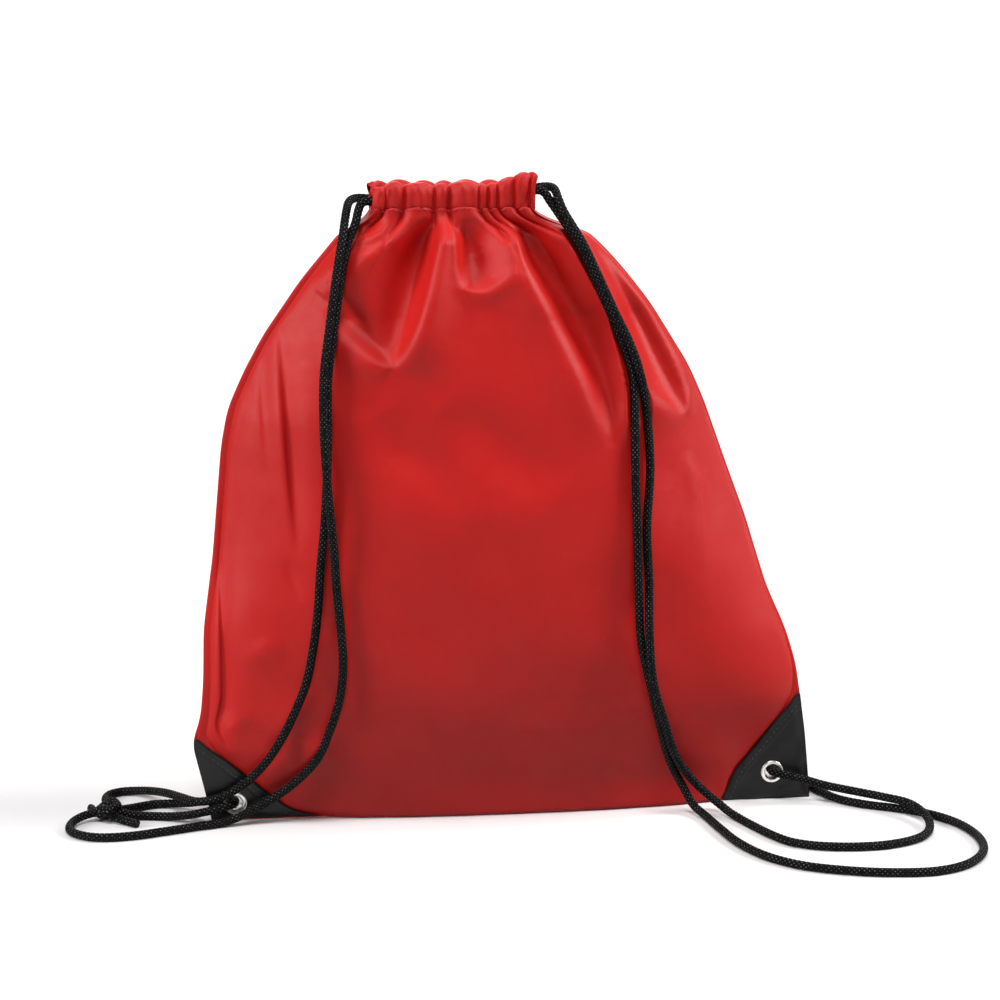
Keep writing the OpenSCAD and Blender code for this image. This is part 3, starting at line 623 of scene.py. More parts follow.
def black_braid():
    """Braided polyester cord: diamonds of thread, with a painted glint in the base colour where they stand
    up.
    """
    s = Shader("black_cord")
    across, along = s.uv()
    one_way = s.wave(s.math("ADD", across, along), 2.0)
    other_way = s.wave(s.math("SUBTRACT", across, along), 2.0)
    crest = s.math("ABSOLUTE", s.math("MULTIPLY", one_way, other_way))
    fibres = s.wave(s.math("ADD", across, s.math("MULTIPLY", along, 2.0)), 0.25)
    # painted glint: the base colour turns pale grey in random specks on the crests of the diamonds
    painted_glint = s.math("MULTIPLY", s.scale(crest, 0.80, 0.98), s.scale(s.noise(0.0011, 1.0), 0.38, 0.54))
    s.link(s.mix(painted_glint, rgb(0.0020, 0.0020, 0.0023), rgb(0.200, 0.200, 0.205)), "Base Color")
    s.link(s.scale(crest, 0, 1, 0.70, 0.45), "Roughness")
    s.link(s.bump(fibres, 0.00004, 0.4), "Normal")
    s.set(Specular_IOR_Level=0.09)
    return s.material


def sewing_thread(name, colour, light):
    """Twisted sewing thread, with painted highlight and shade along its twist."""
    s = Shader(name)
    across, along = s.uv()
    twist = s.wave(s.math("ADD", across, s.math("MULTIPLY", along, 2.0)), 1.0)
    # painted highlight and shade: the colour runs from the darker given colour in the grooves of the twist
    # to the lighter one on its crests
    s.link(s.mix(s.scale(twist, -1, 1), colour, light), "Base Color")
    s.link(s.bump(twist, 0.00006, 0.6), "Normal")
    s.set(Roughness=0.55, Sheen_Weight=0.3)
    return s.material


def polished_nickel():
    """Nickel plate with fine rubbing marks and a few dull spots."""
    s = Shader("nickel")
    scratches = s.noise(0.0009, 3.0, (1, 1, 6))
    dull = s.scale(s.noise(0.003, 3.0), 0.5, 0.8)
    s.link(s.mix(dull, rgb(0.88, 0.87, 0.84), rgb(0.66, 0.64, 0.60)), "Base Color")
    s.link(s.math("ADD", s.scale(scratches, 0.3, 0.7, 0.26, 0.34), s.math("MULTIPLY", dull, 0.15)),
           "Roughness")
    s.link(s.bump(scratches, 0.00001, 0.15), "Normal")
    s.set(Metallic=1.0)
    return s.material


def pale_floor():
    s = Shader("pale_floor")
    s.link(s.mix(s.noise(0.3, 2.0), rgb(0.86, 0.86, 0.86), rgb(0.88, 0.88, 0.88)), "Base Color")
    s.set(Roughness=0.9, Specular_IOR_Level=0.1)
    return s.material


# ---- Camera, floor and light ----
def direction(azimuth, elevation):
    """The direction in which a place lies, as seen from the bag. Angles are in degrees."""
    a, e = math.radians(azimuth), math.radians(elevation)
    return Vector((math.sin(a) * math.cos(e), -math.cos(a) * math.cos(e), math.sin(e)))


def make_camera():
    """Looks at the bag from a little above and a little to its left, from about 1.3 m away."""
    back = direction(CAMERA_AZIMUTH, CAMERA_ELEVATION)
    camera = bpy.data.objects.new("camera", bpy.data.cameras.new("camera"))
    camera.data.lens = LENS
    camera.data.sensor_width = SENSOR
    camera.location = Vector(CAMERA_TARGET) + back * CAMERA_DISTANCE
    camera.rotation_euler = (-back).to_track_quat("-Z", "Y").to_euler()
    bpy.context.scene.collection.objects.link(camera)
    bpy.context.scene.camera = camera


def soft_sun(name, azimuth, elevation, strength, spread):
    """A soft light from far away, from the given side."""
    light = bpy.data.lights.new(name, "SUN")
    light.energy = strength
    light.angle = math.radians(spread)
    obj = bpy.data.objects.new(name, light)
    obj.rotation_euler = direction(azimuth, elevation).to_track_quat("Z", "Y").to_euler()
    bpy.context.scene.collection.objects.link(obj)


def make_studio():
    """A pale floor that reaches far away, soft lights and a white sky."""
    corners = [(x * FLOOR_HALF, y * FLOOR_HALF, FLOOR_Z) for x, y in ((-1, -1), (1, -1), (1, 1), (-1, 1))]
    floor = add_object("floor", corners, [[0, 1, 2, 3]], material=pale_floor())
    floor.visible_diffuse = False
    floor.visible_shadow = False
    for light in LIGHTS:
        soft_sun(*light)
    world = bpy.data.worlds.new("studio")
    world.use_nodes = True
    sky = world.node_tree.nodes["Background"]
    sky.inputs["Color"].default_value = rgb(1, 1, 1)
    sky.inputs["Strength"].default_value = SKY_STRENGTH
    bpy.context.scene.world = world
    bpy.context.scene.view_settings.view_transform = "Standard"


# ---- Cords ----
def braid_relief(across, along):
    """Diamonds of a round braid, standing proud of the grooves between them."""
    one_way = np.abs(np.sin(math.pi * (across + along)))
    other_way = np.abs(np.sin(math.pi * (across - along)))
    return BRAID_RISE * (np.sqrt(one_way * other_way) - 0.6)


def cord_path(route):
    return evenly_spaced(curve_through(route), RING_STEP)


def braided_cord(name, path, taper=0.0):
    """A braided cord on a path. taper is the length of melted, narrower end."""
    radius = np.full(len(path), CORD_R)
    if taper:
        left = np.linalg.norm(path - path[-1], axis=1)
        radius *= 1 - END_TAPER * (1 - smooth(left / taper))
    cord = tube(name, path, radius, CORD_SIDES, braid_relief, CORD_MATERIAL, BRAID_PITCH, BRAID_CELLS)
    return cord


def make_strand(node, route, sliding, knot_center):
    """A free stretch of cord that ends in a knot.

    Where a cord slides in the casing, sliding is its body: the strand starts inside the casing, and its
    first part follows that body.
    """
    if sliding:
        inside = RUN_INSET if route[0][0] < 0 else -RUN_INSET
        start = [(route[0][0] + inside, route[0][1], route[0][2])]
        path = cord_path(start + route + [knot_center])
    else:
        path = cord_path([knot_center] + route + [knot_center])
    cord = braided_cord(node.replace("cord", "drawcord"), path)
    if sliding:
        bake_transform(cord)
    else:
        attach(cord, "bag")
    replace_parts(cord, node)
    return path


def casing_run_path(x_exit, x_bend, z):
    """Out along the front casing, round the end of the mouth, and back along the back casing."""
    hand = 1 if x_bend > x_exit else -1
    x = np.linspace(x_exit, x_bend, 40)
    turn = np.linspace(0, math.pi, 24)
    out = np.stack(np.broadcast_arrays(x, -RUN_Y, z), axis=1)
    bend = np.stack(np.broadcast_arrays(x_bend + hand * RUN_Y * np.sin(turn), -RUN_Y * np.cos(turn), z),
                    axis=1)
    home = out[::-1] * [1, -1, 1]
    return evenly_spaced(np.vstack([out, bend[1:-1], home]), RING_STEP)


def make_casing_cord(node, body, x_exit, x_bend, z):
    cord = braided_cord(node.replace("cord_casing_run", "drawcord_in_casing"),
                        casing_run_path(x_exit, x_bend, z))
    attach(cord, body)
    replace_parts(cord, node)


def knot_path(center, facing, tails):
    """A tight overhand knot, with a tail at each end of it.

    facing is the angle, seen from above, at which the tails leave.
    """
    gap = 0.30
    t = np.linspace(gap, 2 * math.pi - gap, 61)
    ring = KNOT_RING + KNOT_WAVE * np.cos(3 * t)
    x = ring * np.cos(2 * t + facing)
    y = ring * np.sin(2 * t + facing)
    z = -KNOT_WAVE * 1.05 * np.sin(3 * t)
    loop = np.stack([x, y, z], axis=1) + center
    under, over = facing - 0.5, facing + 0.6
    tail_in = np.array([[0.0072 * math.cos(under), 0.0072 * math.sin(under), -0.0028]]) + center
    tail_out = np.array([[0.0078 * math.cos(over), 0.0078 * math.sin(over), 0.0030]]) + center
    path = np.vstack([np.array(tails[0])[::-1], tail_in, loop[::6], tail_out, np.array(tails[1])])
    return evenly_spaced(curve_through(path, 10), RING_STEP)


def make_knot(node, center, facing, tails):
    path = knot_path(center, facing, tails)
    knot = braided_cord(node + "_tied", path, taper=0.003)
    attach(knot, "bag")
    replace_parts(knot, node)
    return knot


# ---- The shape of the sack ----
def seam_y(z):
    """The sewn edges sit forward of the middle at the corners, and rise back to it."""
    return CORNER_Y * (1 - smooth((z - CORNER_TOP) / (SEAM_RISE_TOP - CORNER_TOP)))


def patch_width(hand, z):
    """Width of a corner patch at height z. Above its top it goes on narrowing, below zero."""
    width, height = PATCH_SIZE[hand]
    share = z / height
    return width * (lookup(PATCH_SHAPE[hand], share, 0.03) - np.maximum(share - 1, 0))


def inside_slant(hand, z, edge):
    """Distance from the slanted edge of a patch to a point that far in from the outline."""
    slope = (patch_width(hand, z + 0.001) - patch_width(hand, z - 0.001)) / 0.002
    return (patch_width(hand, z) - edge) / np.hypot(1, slope)


def flat_width(hand, z):
    """Width of the flat cloth beside an outline: the corner patch, then the margin, blended."""
    corner = patch_width(hand, z)
    margin = FLAT_MARGIN[hand]
    return (margin + corner + np.sqrt((margin - corner) ** 2 + 0.010 ** 2)) / 2 - 0.0003


def crown(u, z):
    """Swelling across the bag: 0 at its edges, 1 in the middle, and squarer near the neck."""
    power = CROWN_POWER + 4 * np.clip((z - 0.28) / 0.06, 0, 1)
    return (1 - np.minimum(1, np.abs(u)) ** power) ** CROWN_EASE


def reach(side, z):
    """How far the middle of a panel stands out from the seam plane."""
    if side == FRONT:
        return FRONT_BELLY * lookup(FRONT_OUTLINE, z, BELLY_SOFTEN) + seam_y(z)
    return BACK_BELLY * lookup(BACK_OUTLINE, z, BELLY_SOFTEN) - seam_y(z)


def fold(x, z, line):
    """Rise of the cloth along one fold of FRONT_FOLDS or BACK_FOLDS."""
    line = curve_through(np.array(line) / MM_PER_M, 5)
    best = np.full(x.shape, 1e9)
    height = np.zeros_like(x)
    for a, b in zip(line[:-1], line[1:]):
        along = b[:2] - a[:2]
        t = ((x - a[0]) * along[0] + (z - a[1]) * along[1]) / (along @ along)
        t = np.clip(t, 0, 1)
        off_x = x - a[0] - t * along[0]
        off_z = z - a[1] - t * along[1]
        gap = np.hypot(off_x, off_z)
        on_left = off_x * along[1] - off_z * along[0] > 0
        rise, left, right = (a[k] + t * (b[k] - a[k]) for k in (2, 3, 4))
        width = np.where(on_left, left, right)
        rounded = FOLD_ROUNDED * width
        away = np.hypot(gap, rounded) - rounded
        here = FOLD_GAIN * rise * np.exp(-(FOLD_REACH * away / width) ** FOLD_SHARPNESS)
        height = np.where(gap < best, here, height)
        best = np.minimum(best, gap)
    return height


def lobes(x, creases):
    """Bulges of gathered cloth: 0 at each crease and 1 in the middle of a wide lobe."""
    edges = np.array(creases)
    k = np.clip(np.searchsorted(edges, x) - 1, 0, len(edges) - 2)
    width = edges[k + 1] - edges[k]
    t = np.clip((x - edges[k]) / width, 0, 1)
    return np.minimum(1.1, np.sqrt(width / WIDE_LOBE)) * np.abs(np.sin(math.pi * t)) ** 0.7


def seam_line(x, creases):
    """How far the casing's line of stitches rises or falls as it crosses the pleats."""
    return SEAM_WAVE * (lobes(x, creases) - 0.6)


def gathers(x, z, creases):
    """Small folds that run down from the neck and fade out."""
    fade = np.exp(-(np.maximum(PANEL_TOP - z, 0) / GATHER_LENGTH) ** 1.3)
    return GATHER_DEPTH * (lobes(x, creases) - 0.55) * fade


def press_under(x, y, z, path):
    """Pushes the front in where a cord lies on it, so that the cord rests in a shallow groove.

    Stays away from the eyelets, where the cord goes through the cloth.
    """
    width = 2.2 * CORD_R
    for px, py, pz in path[::3]:
        from_eyelet = min(math.hypot(px - ex, pz - ez) for ex, ez in EYELET_AT.values())
        on_floor_or_behind = pz < 0.004 or py > -0.002
        if on_floor_or_behind or pz > PANEL_TOP or from_eyelet < EYELET_KEEP:
            continue
        gap2 = (x - px) ** 2 + (z - pz) ** 2
        limit = py + CORD_R + GROOVE_GAP - gap2 / (2 * CORD_R)
        near = (gap2 < width ** 2) & (y < limit)
        y[near] = limit[near]
    return y


def panel_surface(side, rows, edge_columns, columns, folds, creases, paths=()):
    """x, y, z of a panel's outer face. Its columns are edge_columns at each side, columns between."""
    z = np.array(rows)[:, None]
    x_left, x_right = cloth_edge(LEFT, z), cloth_edge(RIGHT, z)
    in_left, in_right = x_left + flat_width(LEFT, z), x_right - flat_width(RIGHT, z)
    t = np.linspace(0, 1, edge_columns)[None, :-1]
    s = np.linspace(-1, 1, columns)[None, :]
    u = 0.35 * s + 0.65 * np.sin(math.pi / 2 * s)
    x = np.hstack([x_left + (in_left - x_left) * t,
                   (in_left + in_right) / 2 + u * (in_right - in_left) / 2,
                   (x_right + (in_right - x_right) * t)[:, ::-1]])
    u = np.hstack([-np.ones_like(t), u, np.ones_like(t)]) * np.ones_like(z)
    z = z * np.ones_like(x)
    # the swelling, with rounded edges
    edge = np.minimum(x - x_left, x_right - x)
    out = LAYER_GAP / 2 + SHELL_T + reach(side, z) * crown(u, z)
    rounding = EDGE_ROUND * (1 - 0.55 * smooth((z - THIN_EDGE_FROM) / 0.014))
    turn = 1 - np.clip(edge / rounding, 0, 1)
    least = CLOTH_T * 0.6
    out = least + (out - least) * np.sqrt(1 - turn ** 2)
    # folds, unevenness and the gathers under the neck
    x_neck = NECK_LEFT + (NECK_RIGHT - NECK_LEFT) * (x - x_left) / (x_right - x_left)
    inside = smooth(edge / 0.014) * smooth(z / 0.02)
    relief = sum(fold(x, z, line) for line in folds)
    for (height, size), seed in ((SLOW_WAVES, 3 + side), (FINE_WAVES, 8 + side)):
        relief = relief + height * ripple(x, z, size, seed)
    relief = relief * (1 - smooth((z - FOLDS_FADE_FROM) / 0.008))
    relief = relief + gathers(x_neck, z, creases)
    out = out + relief * inside
    # pressed to the casing at the top, under the patches at the corners, and under the cords
    pinch = smooth((z - PINCH_FROM) / (PANEL_TOP - PINCH_FROM)) * smooth(edge / rounding)
    out = out + (neck_out(x_neck, creases) - LEDGE - out) * pinch
    out = clear_of_patches(x, z, out)
    y = seam_y(z) + side * out
    for path in paths:
        y = press_under(x, y, z, path)
    y = side * np.maximum(side * (y - seam_y(z)), least) + seam_y(z)
    y = round_the_bottom(side, y, z)
    # the cloth's edge is lifted under the right patch, and follows the casing's seam at the top
    under = smooth((x - outline_x(RIGHT, z) + patch_width(RIGHT, z)) / 0.002)
    z = z + 0.0012 * under * (1 - smooth(z / 0.004))
    z = z + seam_line(x_neck, creases) * smooth((z - DRAW_IN_FROM) / (PANEL_TOP - DRAW_IN_FROM))
    return x, y, z


def cloth_edge(hand, z):
    """x of a sewn edge. Close to the neck it is drawn in to the casing's end."""
    neck = NECK_LEFT if hand == LEFT else NECK_RIGHT
    x = outline_x(hand, z)
    return x + (neck + hand * NECK_OVERHANG - x) * smooth((z - DRAW_IN_FROM) / (PANEL_TOP - PINCH_FROM))


def neck_out(x, creases):
    """How far the gathered cloth stands out at the neck: less at the creases, more in the lobes."""
    return CASING_OUT + LOBE_DEPTH * lobes(x, creases)


def clear_of_patches(x, z, out):
    """Keeps the cloth just under the corner patches, and lets it rise again past their hems."""
    for hand in PATCH_SIZE:
        from_edge = (x - outline_x(hand, z)) * -hand
        from_slant = inside_slant(hand, z, from_edge)
        limit = patch_out(hand, x, z) - PATCH_T - UNDER_PATCH + np.maximum(0, -from_slant - 0.0010)
        near = (from_slant > -CLEAR_REACH) & (from_edge > -0.001)
        out = np.where(near, np.minimum(out, limit), out)
    return out


def round_the_bottom(side, y, z):
    """Turns the bottom edge under, as a soft fold."""
    depth = np.minimum(BOTTOM_ROUND, 0.8 * np.abs(y - seam_y(z)))
    low = np.clip(1 - z / BOTTOM_ROUND, 0, 1)
    return y - side * depth * (1 - np.sqrt(1 - low ** 2))


def cloth_uv(x, y, z):
    """Distances across and up the cloth, so that its weave isn't stretched."""
    across = np.hypot(np.diff(x, axis=1), np.diff(y, axis=1))
    across = np.hstack([np.zeros((len(x), 1)), np.cumsum(across, axis=1)])
    across -= across[:, across.shape[1] // 2][:, None]
    up = np.hypot(np.diff(z, axis=0), np.diff(y, axis=0))
    up = np.vstack([np.zeros((1, x.shape[1])), np.cumsum(up, axis=0)])
    return across, up


def away_from_eyelets(x, z, hole_r):
    """Which quads of a grid are clear of both eyelet holes."""
    mid_x = (x[:-1, :-1] + x[1:, 1:]) / 2
    mid_z = (z[:-1, :-1] + z[1:, 1:]) / 2
    clear = np.ones(mid_x.shape, bool)
    for eyelet_x, eyelet_z in EYELET_AT.values():
        clear &= np.hypot(mid_x - eyelet_x, mid_z - eyelet_z) > hole_r
    return clear


def make_panel(node, side, rows, edge_columns, columns, folds, creases, paths=()):
    x, y, z = panel_surface(side, rows, edge_columns, columns, folds, creases, paths)
    keep = away_from_eyelets(x, z, EYELET_R - 0.0015)
    panel = cloth_grid(node + "_cloth", x, y, z, cloth_uv(x, y, z), RED_CLOTH, CLOTH_T,
                       flip=side == BACK, keep=keep)
    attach(panel, "bag")
    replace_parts(panel, node)
    return panel


# ---- Bottom, seams and casings ----
def make_bottom():
    """The strip folded under the bag, which it stands on: nearly flat, with a few creases."""
    t = np.linspace(0, 1, 160)[None, :]
    v = np.linspace(-1, 1, 40)[:, None]
    in_left = OUTLINE[LEFT][0][1] + PATCH_SIZE[LEFT][0]
    in_right = OUTLINE[RIGHT][0][1] - PATCH_SIZE[RIGHT][0]
    u = 0.97 * np.sin(math.pi * (t - 0.5))
    x = (in_left + in_right) / 2 + u * (in_right - in_left) / 2
    front = reach(FRONT, 0.0) * crown(u, 0.0) - BOTTOM_ROUND * 0.6
    back = reach(BACK, 0.0) * crown(u, 0.0) - BOTTOM_ROUND * 0.6
    y = CORNER_Y + np.where(v < 0, v * np.maximum(front, 0.0005), v * np.maximum(back, 0.0005))
    x = x * np.ones_like(y)
    z = 0.0009 + 0.0004 * ripple(x, y, 0.022, 21) + 0.0002 * ripple(x, y, 0.007, 22)
    z = np.maximum(z, 0.0005)
    bottom = cloth_grid("bottom_cloth", x, y, z, (x, y), RED_CLOTH, CLOTH_T, flip=True)
    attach(bottom, "bag")
    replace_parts(bottom, "bottom_fold")


def make_side_seam(node, hand):
    """The turned-in allowance inside a sewn edge, with a wavy cut edge."""
    z = np.linspace(*SEAM_SPAN, 180)[:, None]
    inward = np.linspace(*ALLOWANCE, 10)[None, :]
    cut = 0.0006 * np.sin(2 * math.pi * z / 0.013) * (inward > 0.009)
    x = outline_x(hand, z) - hand * (MARGIN_W + inward + cut)
    z = z * np.ones_like(x)
    y = seam_y(z) + 0.0004 * ripple(x, z, 0.012, 31 + hand) * inward / ALLOWANCE[1]
    seam = cloth_grid(node + "_allowance", x, y, z, (inward, z), RED_CLOTH, CLOTH_T * 2)
    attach(seam, "bag")
    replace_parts(seam, node)


def casing_top(side, x, creases):
    """Height of the casing's scalloped top edge, which climbs to the right at the front."""
    table = FRONT_CASING_TOP if side == FRONT else BACK_CASING_TOP
    return lookup(table, x, 0.002) + CASING_DIP * (lobes(x, creases) - 1)


def make_casing(node, side, creases):
    """The folded hem at the mouth: a flattened tube of cloth, gathered into lobes by the cords."""
    x = np.linspace(NECK_LEFT - 0.0012, NECK_RIGHT + 0.0015, 380)[:, None]
    angle = np.linspace(0, 2 * math.pi, 64, endpoint=False)[None, :]
    top = casing_top(side, x, creases)
    bottom = PANEL_TOP - 0.0004 + seam_line(x, creases)
    from_end = np.minimum(x - NECK_LEFT, NECK_RIGHT - x)
    crumpled = 1 - smooth((from_end - 0.001) / 0.009)
    outward = neck_out(x, creases) + 0.0004 * ripple(x, x * 0, 0.006, 41 + side)
    inward = CASING_IN + 0.0007 * ripple(x, x * 0 + 1, 0.011, 51 + side)
    c, s = -np.cos(angle), np.sin(angle)
    z = (top + bottom) / 2 + (top - bottom) / 2 * np.sign(c) * np.abs(c) ** 0.8
    x = x * np.ones_like(z)
    height = np.clip((z - bottom) / (top - bottom), 0, 1)
    fullness = np.abs(s) ** np.where(c < 0, 0.15, 0.60)
    outer_face = outward - LEDGE * (1 - smooth(height / 0.18))
    middle = (outward + inward) / 2
    y = np.where(s > 0, middle + (outer_face - middle) * fullness, middle - (middle - inward) * fullness)
    # crumples of the outer face, then of the top edge and the ends
    outer = (s > 0) * np.abs(s)
    y = y + (0.0002 + 0.0005 * smooth(height) * ripple(x, z / 5, 0.0060, 44 + side)) * outer
    y = y + 0.0009 * crumpled * ripple(x, z / 2, 0.0060, 47 + side) * outer
    z = z + 0.0008 * crumpled * ripple(x, y, 0.0050, 48 + side) * smooth(height)
    x = x + (0.0007 + 0.0003 * crumpled) * ripple(z, y, 0.010, 61 + side) * smooth(height)
    # the hem is 45 mm round, and gathered to less than half of its length
    uv = (x * 2.2, 0.045 * angle / (2 * math.pi))
    casing = cloth_grid(node + "_cloth", x, side * y, z, uv, RED_CLOTH, CLOTH_T, wrap=True,
                        flip=side == FRONT)
    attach(casing, "bag")
    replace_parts(casing, node)
    return casing


# ---- Stitches ----
def stitch_row(name, places, material):
    """One object of many short stitches. places are (start, end, outward) for each."""
    around, rings = 6, 5
    turn = np.arange(around)[:, None] / around
    t = np.linspace(0, 1, rings)[:, None, None]
    arch = np.sin(math.pi * t)
    vertices, faces = [], []
    for start, end, outward in np.array(places, float):
        side = np.cross(end - start, outward)
        side /= np.linalg.norm(side)
        across = np.cos(2 * math.pi * turn) * outward + np.sin(2 * math.pi * turn) * side
        middle = start + (end - start) * t + outward * (STITCH_R * (1.6 * arch - 0.9))
        first = len(vertices)
        vertices.extend((middle + STITCH_R * (0.55 + 0.45 * arch) * across).reshape(-1, 3))
        faces.extend((np.array(grid_faces(rings, around, wrap=True)) + first).tolist())
        faces.append(list(range(first, first + around))[::-1])
        faces.append(list(range(len(vertices) - around, len(vertices))))
    uv = np.stack(np.broadcast_arrays(turn[:, 0], t[:, :, 0] * 2), axis=-1).reshape(-1, 2)
    row = add_object(name, vertices, faces, np.tile(uv, (len(places), 1)), material)
    face_outwards(row)
    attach(row, "bag")
    return row


def casing_stitches(node, side, creases):
    """A line of stitches along the bottom of a casing."""
    places = []
    count = int((NECK_RIGHT - NECK_LEFT) / STITCH_PITCH) - 1
    for k in range(1, count):
        x = NECK_LEFT + STITCH_PITCH * (k + 0.5)
        ends = []
        for end in (x - STITCH_L / 2, x + STITCH_L / 2):
            out = float(neck_out(np.array(end), creases)) - LEDGE + 0.0001
            ends.append((end, side * out, PANEL_TOP - 0.0008 + float(seam_line(np.array(end), creases))))
        places.append((ends[0], ends[1], (0, side, 0)))
    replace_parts(stitch_row(node.replace("stitching", "stitches"), places, RED_THREAD), node)


# ---- Corner patches ----
def patch_out(hand, x, z):
    """How far the outer face of a patch stands from the seam plane, on the front or the back."""
    edge = np.abs(x - outline_x(hand, z))
    from_slant = inside_slant(hand, z, edge)
    out = PATCH_EDGE + (PATCH_FULL - PATCH_EDGE) * smooth(np.minimum(edge, z + 0.001) / PATCH_RISE_W)
    hem = HEM_RISE * smooth((from_slant + 0.0004) / 0.0004) * (1 - smooth((from_slant - HEM_W) / 0.0007))
    eyelet_x, eyelet_z = EYELET_AT[hand]
    from_eyelet = np.hypot(x - eyelet_x, z - eyelet_z)
    crumple = (PATCH_CRUMPLE * ripple(x, z, 0.022, 71 + hand)
               + PATCH_CRINKLE * ripple(x, z, 0.009, 75 + hand))
    crumple = crumple * smooth((from_eyelet - EYELET_R) / 0.006) * smooth(edge / 0.006)
    flat_here = 1 - smooth((from_eyelet - EYELET_R - 0.0005) / 0.005)
    out = out + (STACK - 0.0002 - out) * flat_here
    return out + hem * (1 - flat_here) + crumple


def make_patch(node, hand, side):
    """Coated cloth over a bottom corner, hemmed along its curved slant."""
    width, height = PATCH_SIZE[hand]
    z = np.concatenate([np.linspace(PATCH_LIFT[hand], 0.004, 8), np.linspace(0.0048, height - 0.001, 74)])
    z = z[:, None]
    t = np.linspace(0, 1, 84)[None, :]
    x = outline_x(hand, z) - hand * (patch_width(hand, z) + 0.0010) * t
    z = z * np.ones_like(x)
    out = patch_out(hand, x, z)
    y = seam_y(z) + side * out
    y = y - side * 0.0006 * (1 - smooth(z / 0.0018))
    keep = away_from_eyelets(x, z, EYELET_HOLE_R + 0.0006)
    flip = (side == BACK) != (hand == RIGHT)
    patch = cloth_grid(node + "_sheet", x, y, z, (x, z), BLACK_SHEET, PATCH_T, flip=flip, keep=keep)
    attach(patch, "bag")
    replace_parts(patch, node)


def patch_stitches(node, hand):
    """Two rows, one on each face, along the hem of a patch."""
    z = np.linspace(0.0016, PATCH_SIZE[hand][1] - 0.004, 300)
    x = outline_x(hand, z) - hand * patch_width(hand, z)
    slant = evenly_spaced(np.stack([x, z], axis=-1), 0.0001)
    ahead = np.gradient(slant, axis=0)
    ahead /= np.linalg.norm(ahead, axis=1)[:, None]
    row = slant + STITCH_INSET * hand * np.stack([ahead[:, 1], -ahead[:, 0]], axis=-1)
    row = evenly_spaced(row[row[:, 1] > 0.001], 0.0001)
    pitch, long = int(STITCH_PITCH / 0.0001), int(STITCH_L / 0.0001)
    places = []
    for side in (FRONT, BACK):
        for k in range(5, len(row) - long, pitch):
            ends = []
            for x, z in (row[k], row[k + long]):
                y = float(seam_y(z) + side * patch_out(hand, np.array(x), np.array(z)))
                ends.append((x, y, z))
            places.append((ends[0], ends[1], (0, side, 0)))
    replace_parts(stitch_row(node.replace("stitching", "stitches"), places, BLACK_THREAD),
                node)


# ---- Eyelets ----
def lathe(name, profile, center, side, material):
    """Turns a closed (radius, outward) profile about the eyelet's axis."""
    around = 72
    r, out = np.array(profile).T
    angle = np.linspace(0, 2 * math.pi, around, endpoint=False)[:, None]
    x = center[0] + r[None, :] * np.cos(angle)
    z = center[1] + r[None, :] * np.sin(angle)
    y = CORNER_Y + side * out[None, :] * np.ones_like(angle)
    vertices = np.stack([x, y, z], axis=-1).reshape(-1, 3)
    faces = grid_faces(around + 1, len(profile), wrap=True, flip=side == BACK)
    faces = (np.array(faces) % len(vertices)).tolist()
    obj = add_object(name, vertices, faces, np.zeros((len(vertices), 2)), material)
    face_outwards(obj)
    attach(obj, "bag")
    return obj


def arc(center_r, center_out, r, start, end, steps=8):
    """Points of an arc in a lathe profile, by angle in degrees."""
    angles = np.radians(np.linspace(start, end, steps))
    return [(center_r + r * math.cos(a), center_out + r * math.sin(a)) for a in angles]


def make_eyelet(hand, name):
    """A rolled front flange on a short barrel, clinched over a washer at the back."""
    center = EYELET_AT[hand]
    hole, rim, wall = EYELET_HOLE_R, EYELET_R, 0.00045
    profile = [(hole, -STACK), (hole, STACK - 0.0006)]
    profile += arc(hole + 0.0010, STACK + 0.0001, 0.0010, 180, 90, 7)
    profile += arc(rim - 0.0008, STACK + 0.0003, 0.0008, 90, -60, 8)
    profile += [(rim - 0.0012, STACK), (hole + wall + 0.0002, STACK), (hole + wall, STACK - 0.0003)]
    profile += [(hole + wall, -STACK)]
    eyelet = lathe(name + "_flange", profile, center, FRONT, NICKEL)
    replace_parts(eyelet, name)
    inner = hole + wall + 0.0001
    ring = arc(inner + 0.0005, STACK + 0.0004, 0.0004, 180, 90, 6)
    ring += arc(rim - 0.0006, STACK + 0.0003, 0.0005, 90, -20, 7)
    ring += [(rim - 0.0004, STACK), (inner, STACK)]
    washer = lathe(name + "_washer_ring", ring, center, BACK, NICKEL)
    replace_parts(washer, name + "_washer")


# ---- The bag ----
make_camera()
make_studio()
RED_CLOTH = red_polyester()
# the second colour of each thread is its painted highlight on the crests of the twist
RED_THREAD = sewing_thread("red_thread", rgb(0.36, 0.006, 0.008), rgb(0.58, 0.016, 0.019))
BLACK_SHEET = black_coated_cloth()
BLACK_THREAD = sewing_thread("black_thread", rgb(0.004, 0.004, 0.0045), rgb(0.014, 0.014, 0.015))
NICKEL = polished_nickel()
CORD_MATERIAL = black_braid()

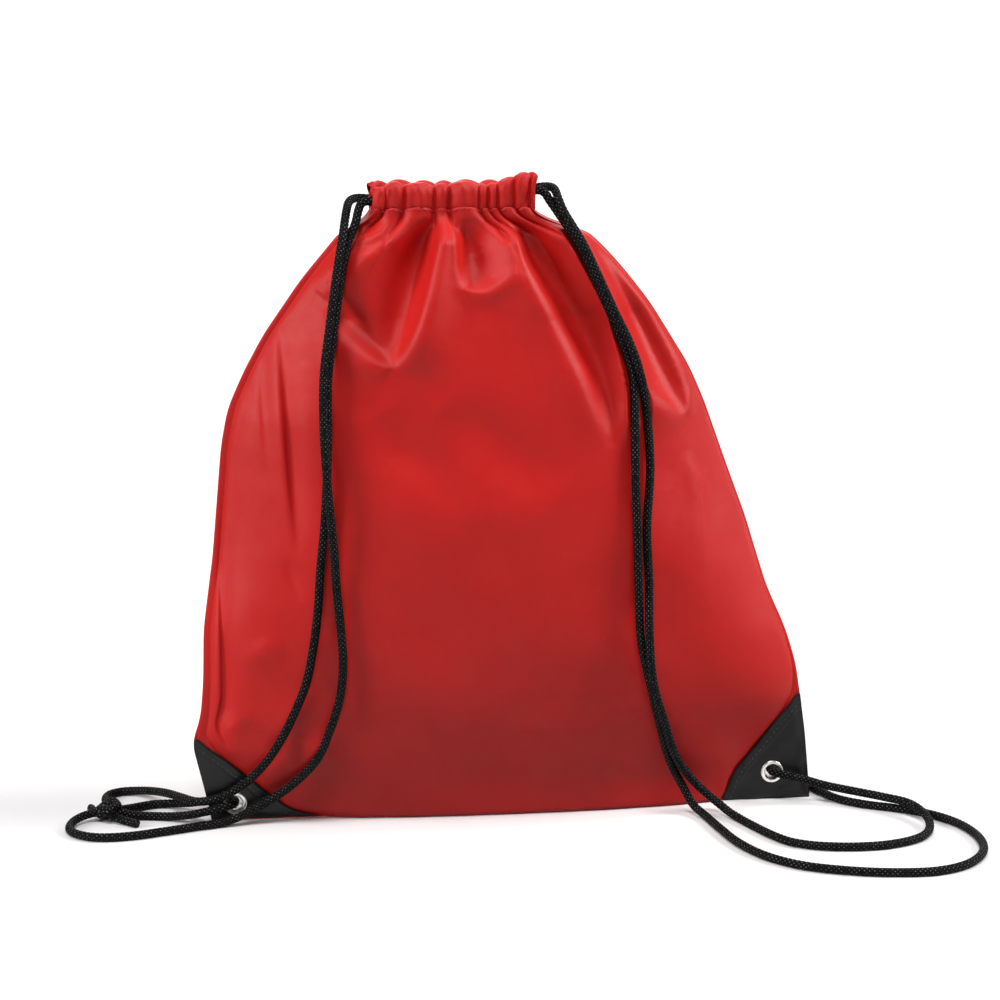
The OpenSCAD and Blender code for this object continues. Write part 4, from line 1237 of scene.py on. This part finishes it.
left_knot = make_knot("left_knot", LEFT_KNOT, math.radians(45), LEFT_TAILS)
right_knot = make_knot("right_knot", RIGHT_KNOT, math.radians(96), RIGHT_TAILS)
left_strands = [
    make_strand("left_cord_front_strand", LEFT_FRONT_ROUTE, "left_drawcord", LEFT_KNOT),
    make_strand("left_cord_back_strand", LEFT_BACK_ROUTE, "left_drawcord", LEFT_KNOT)]
make_strand("left_cord_eyelet_loop", LEFT_LOOP_ROUTE, None, LEFT_KNOT)
right_strands = [
    make_strand("right_cord_front_strand", RIGHT_FRONT_ROUTE, "right_drawcord", RIGHT_KNOT),
    make_strand("right_cord_back_strand", RIGHT_BACK_ROUTE, "right_drawcord", RIGHT_KNOT)]
make_casing_cord("left_cord_casing_run", "left_drawcord", NECK_LEFT + RUN_INSET, LEFT_RUN_BEND,
                 LEFT_RUN_Z)
make_casing_cord("right_cord_casing_run", "right_drawcord", NECK_RIGHT - RUN_INSET, RIGHT_RUN_BEND,
                 RIGHT_RUN_Z)

front_casing = make_casing("front_casing", FRONT, FRONT_CREASES)
back_casing = make_casing("back_casing", BACK, BACK_CREASES)
# rows of the panels' grids, closest at the bottom fold and under the neck
FRONT_ROWS = np.concatenate([np.linspace(0.0003, 0.003, 7), np.arange(0.0045, 0.250, 0.0015),
                             np.linspace(0.250, PANEL_TOP + 0.0004, 92)])
BACK_ROWS = np.concatenate([np.linspace(0.0003, 0.003, 6), np.arange(0.005, 0.240, 0.0022),
                            np.linspace(0.241, PANEL_TOP + 0.0004, 70)])
make_panel("front_panel", FRONT, FRONT_ROWS, 30, 270, FRONT_FOLDS, FRONT_CREASES,
           left_strands + right_strands)
make_panel("back_panel", BACK, BACK_ROWS, 26, 200, BACK_FOLDS, BACK_CREASES)
make_bottom()
for hand, name in ((LEFT, "left"), (RIGHT, "right")):
    make_side_seam(name + "_side_seam", hand)
    make_patch(name + "_front_patch", hand, FRONT)
    make_patch(name + "_back_patch", hand, BACK)
    patch_stitches(name + "_patch_stitching", hand)
    make_eyelet(hand, name + "_eyelet")
casing_stitches("front_casing_stitching", FRONT, FRONT_CREASES)
casing_stitches("back_casing_stitching", BACK, BACK_CREASES)
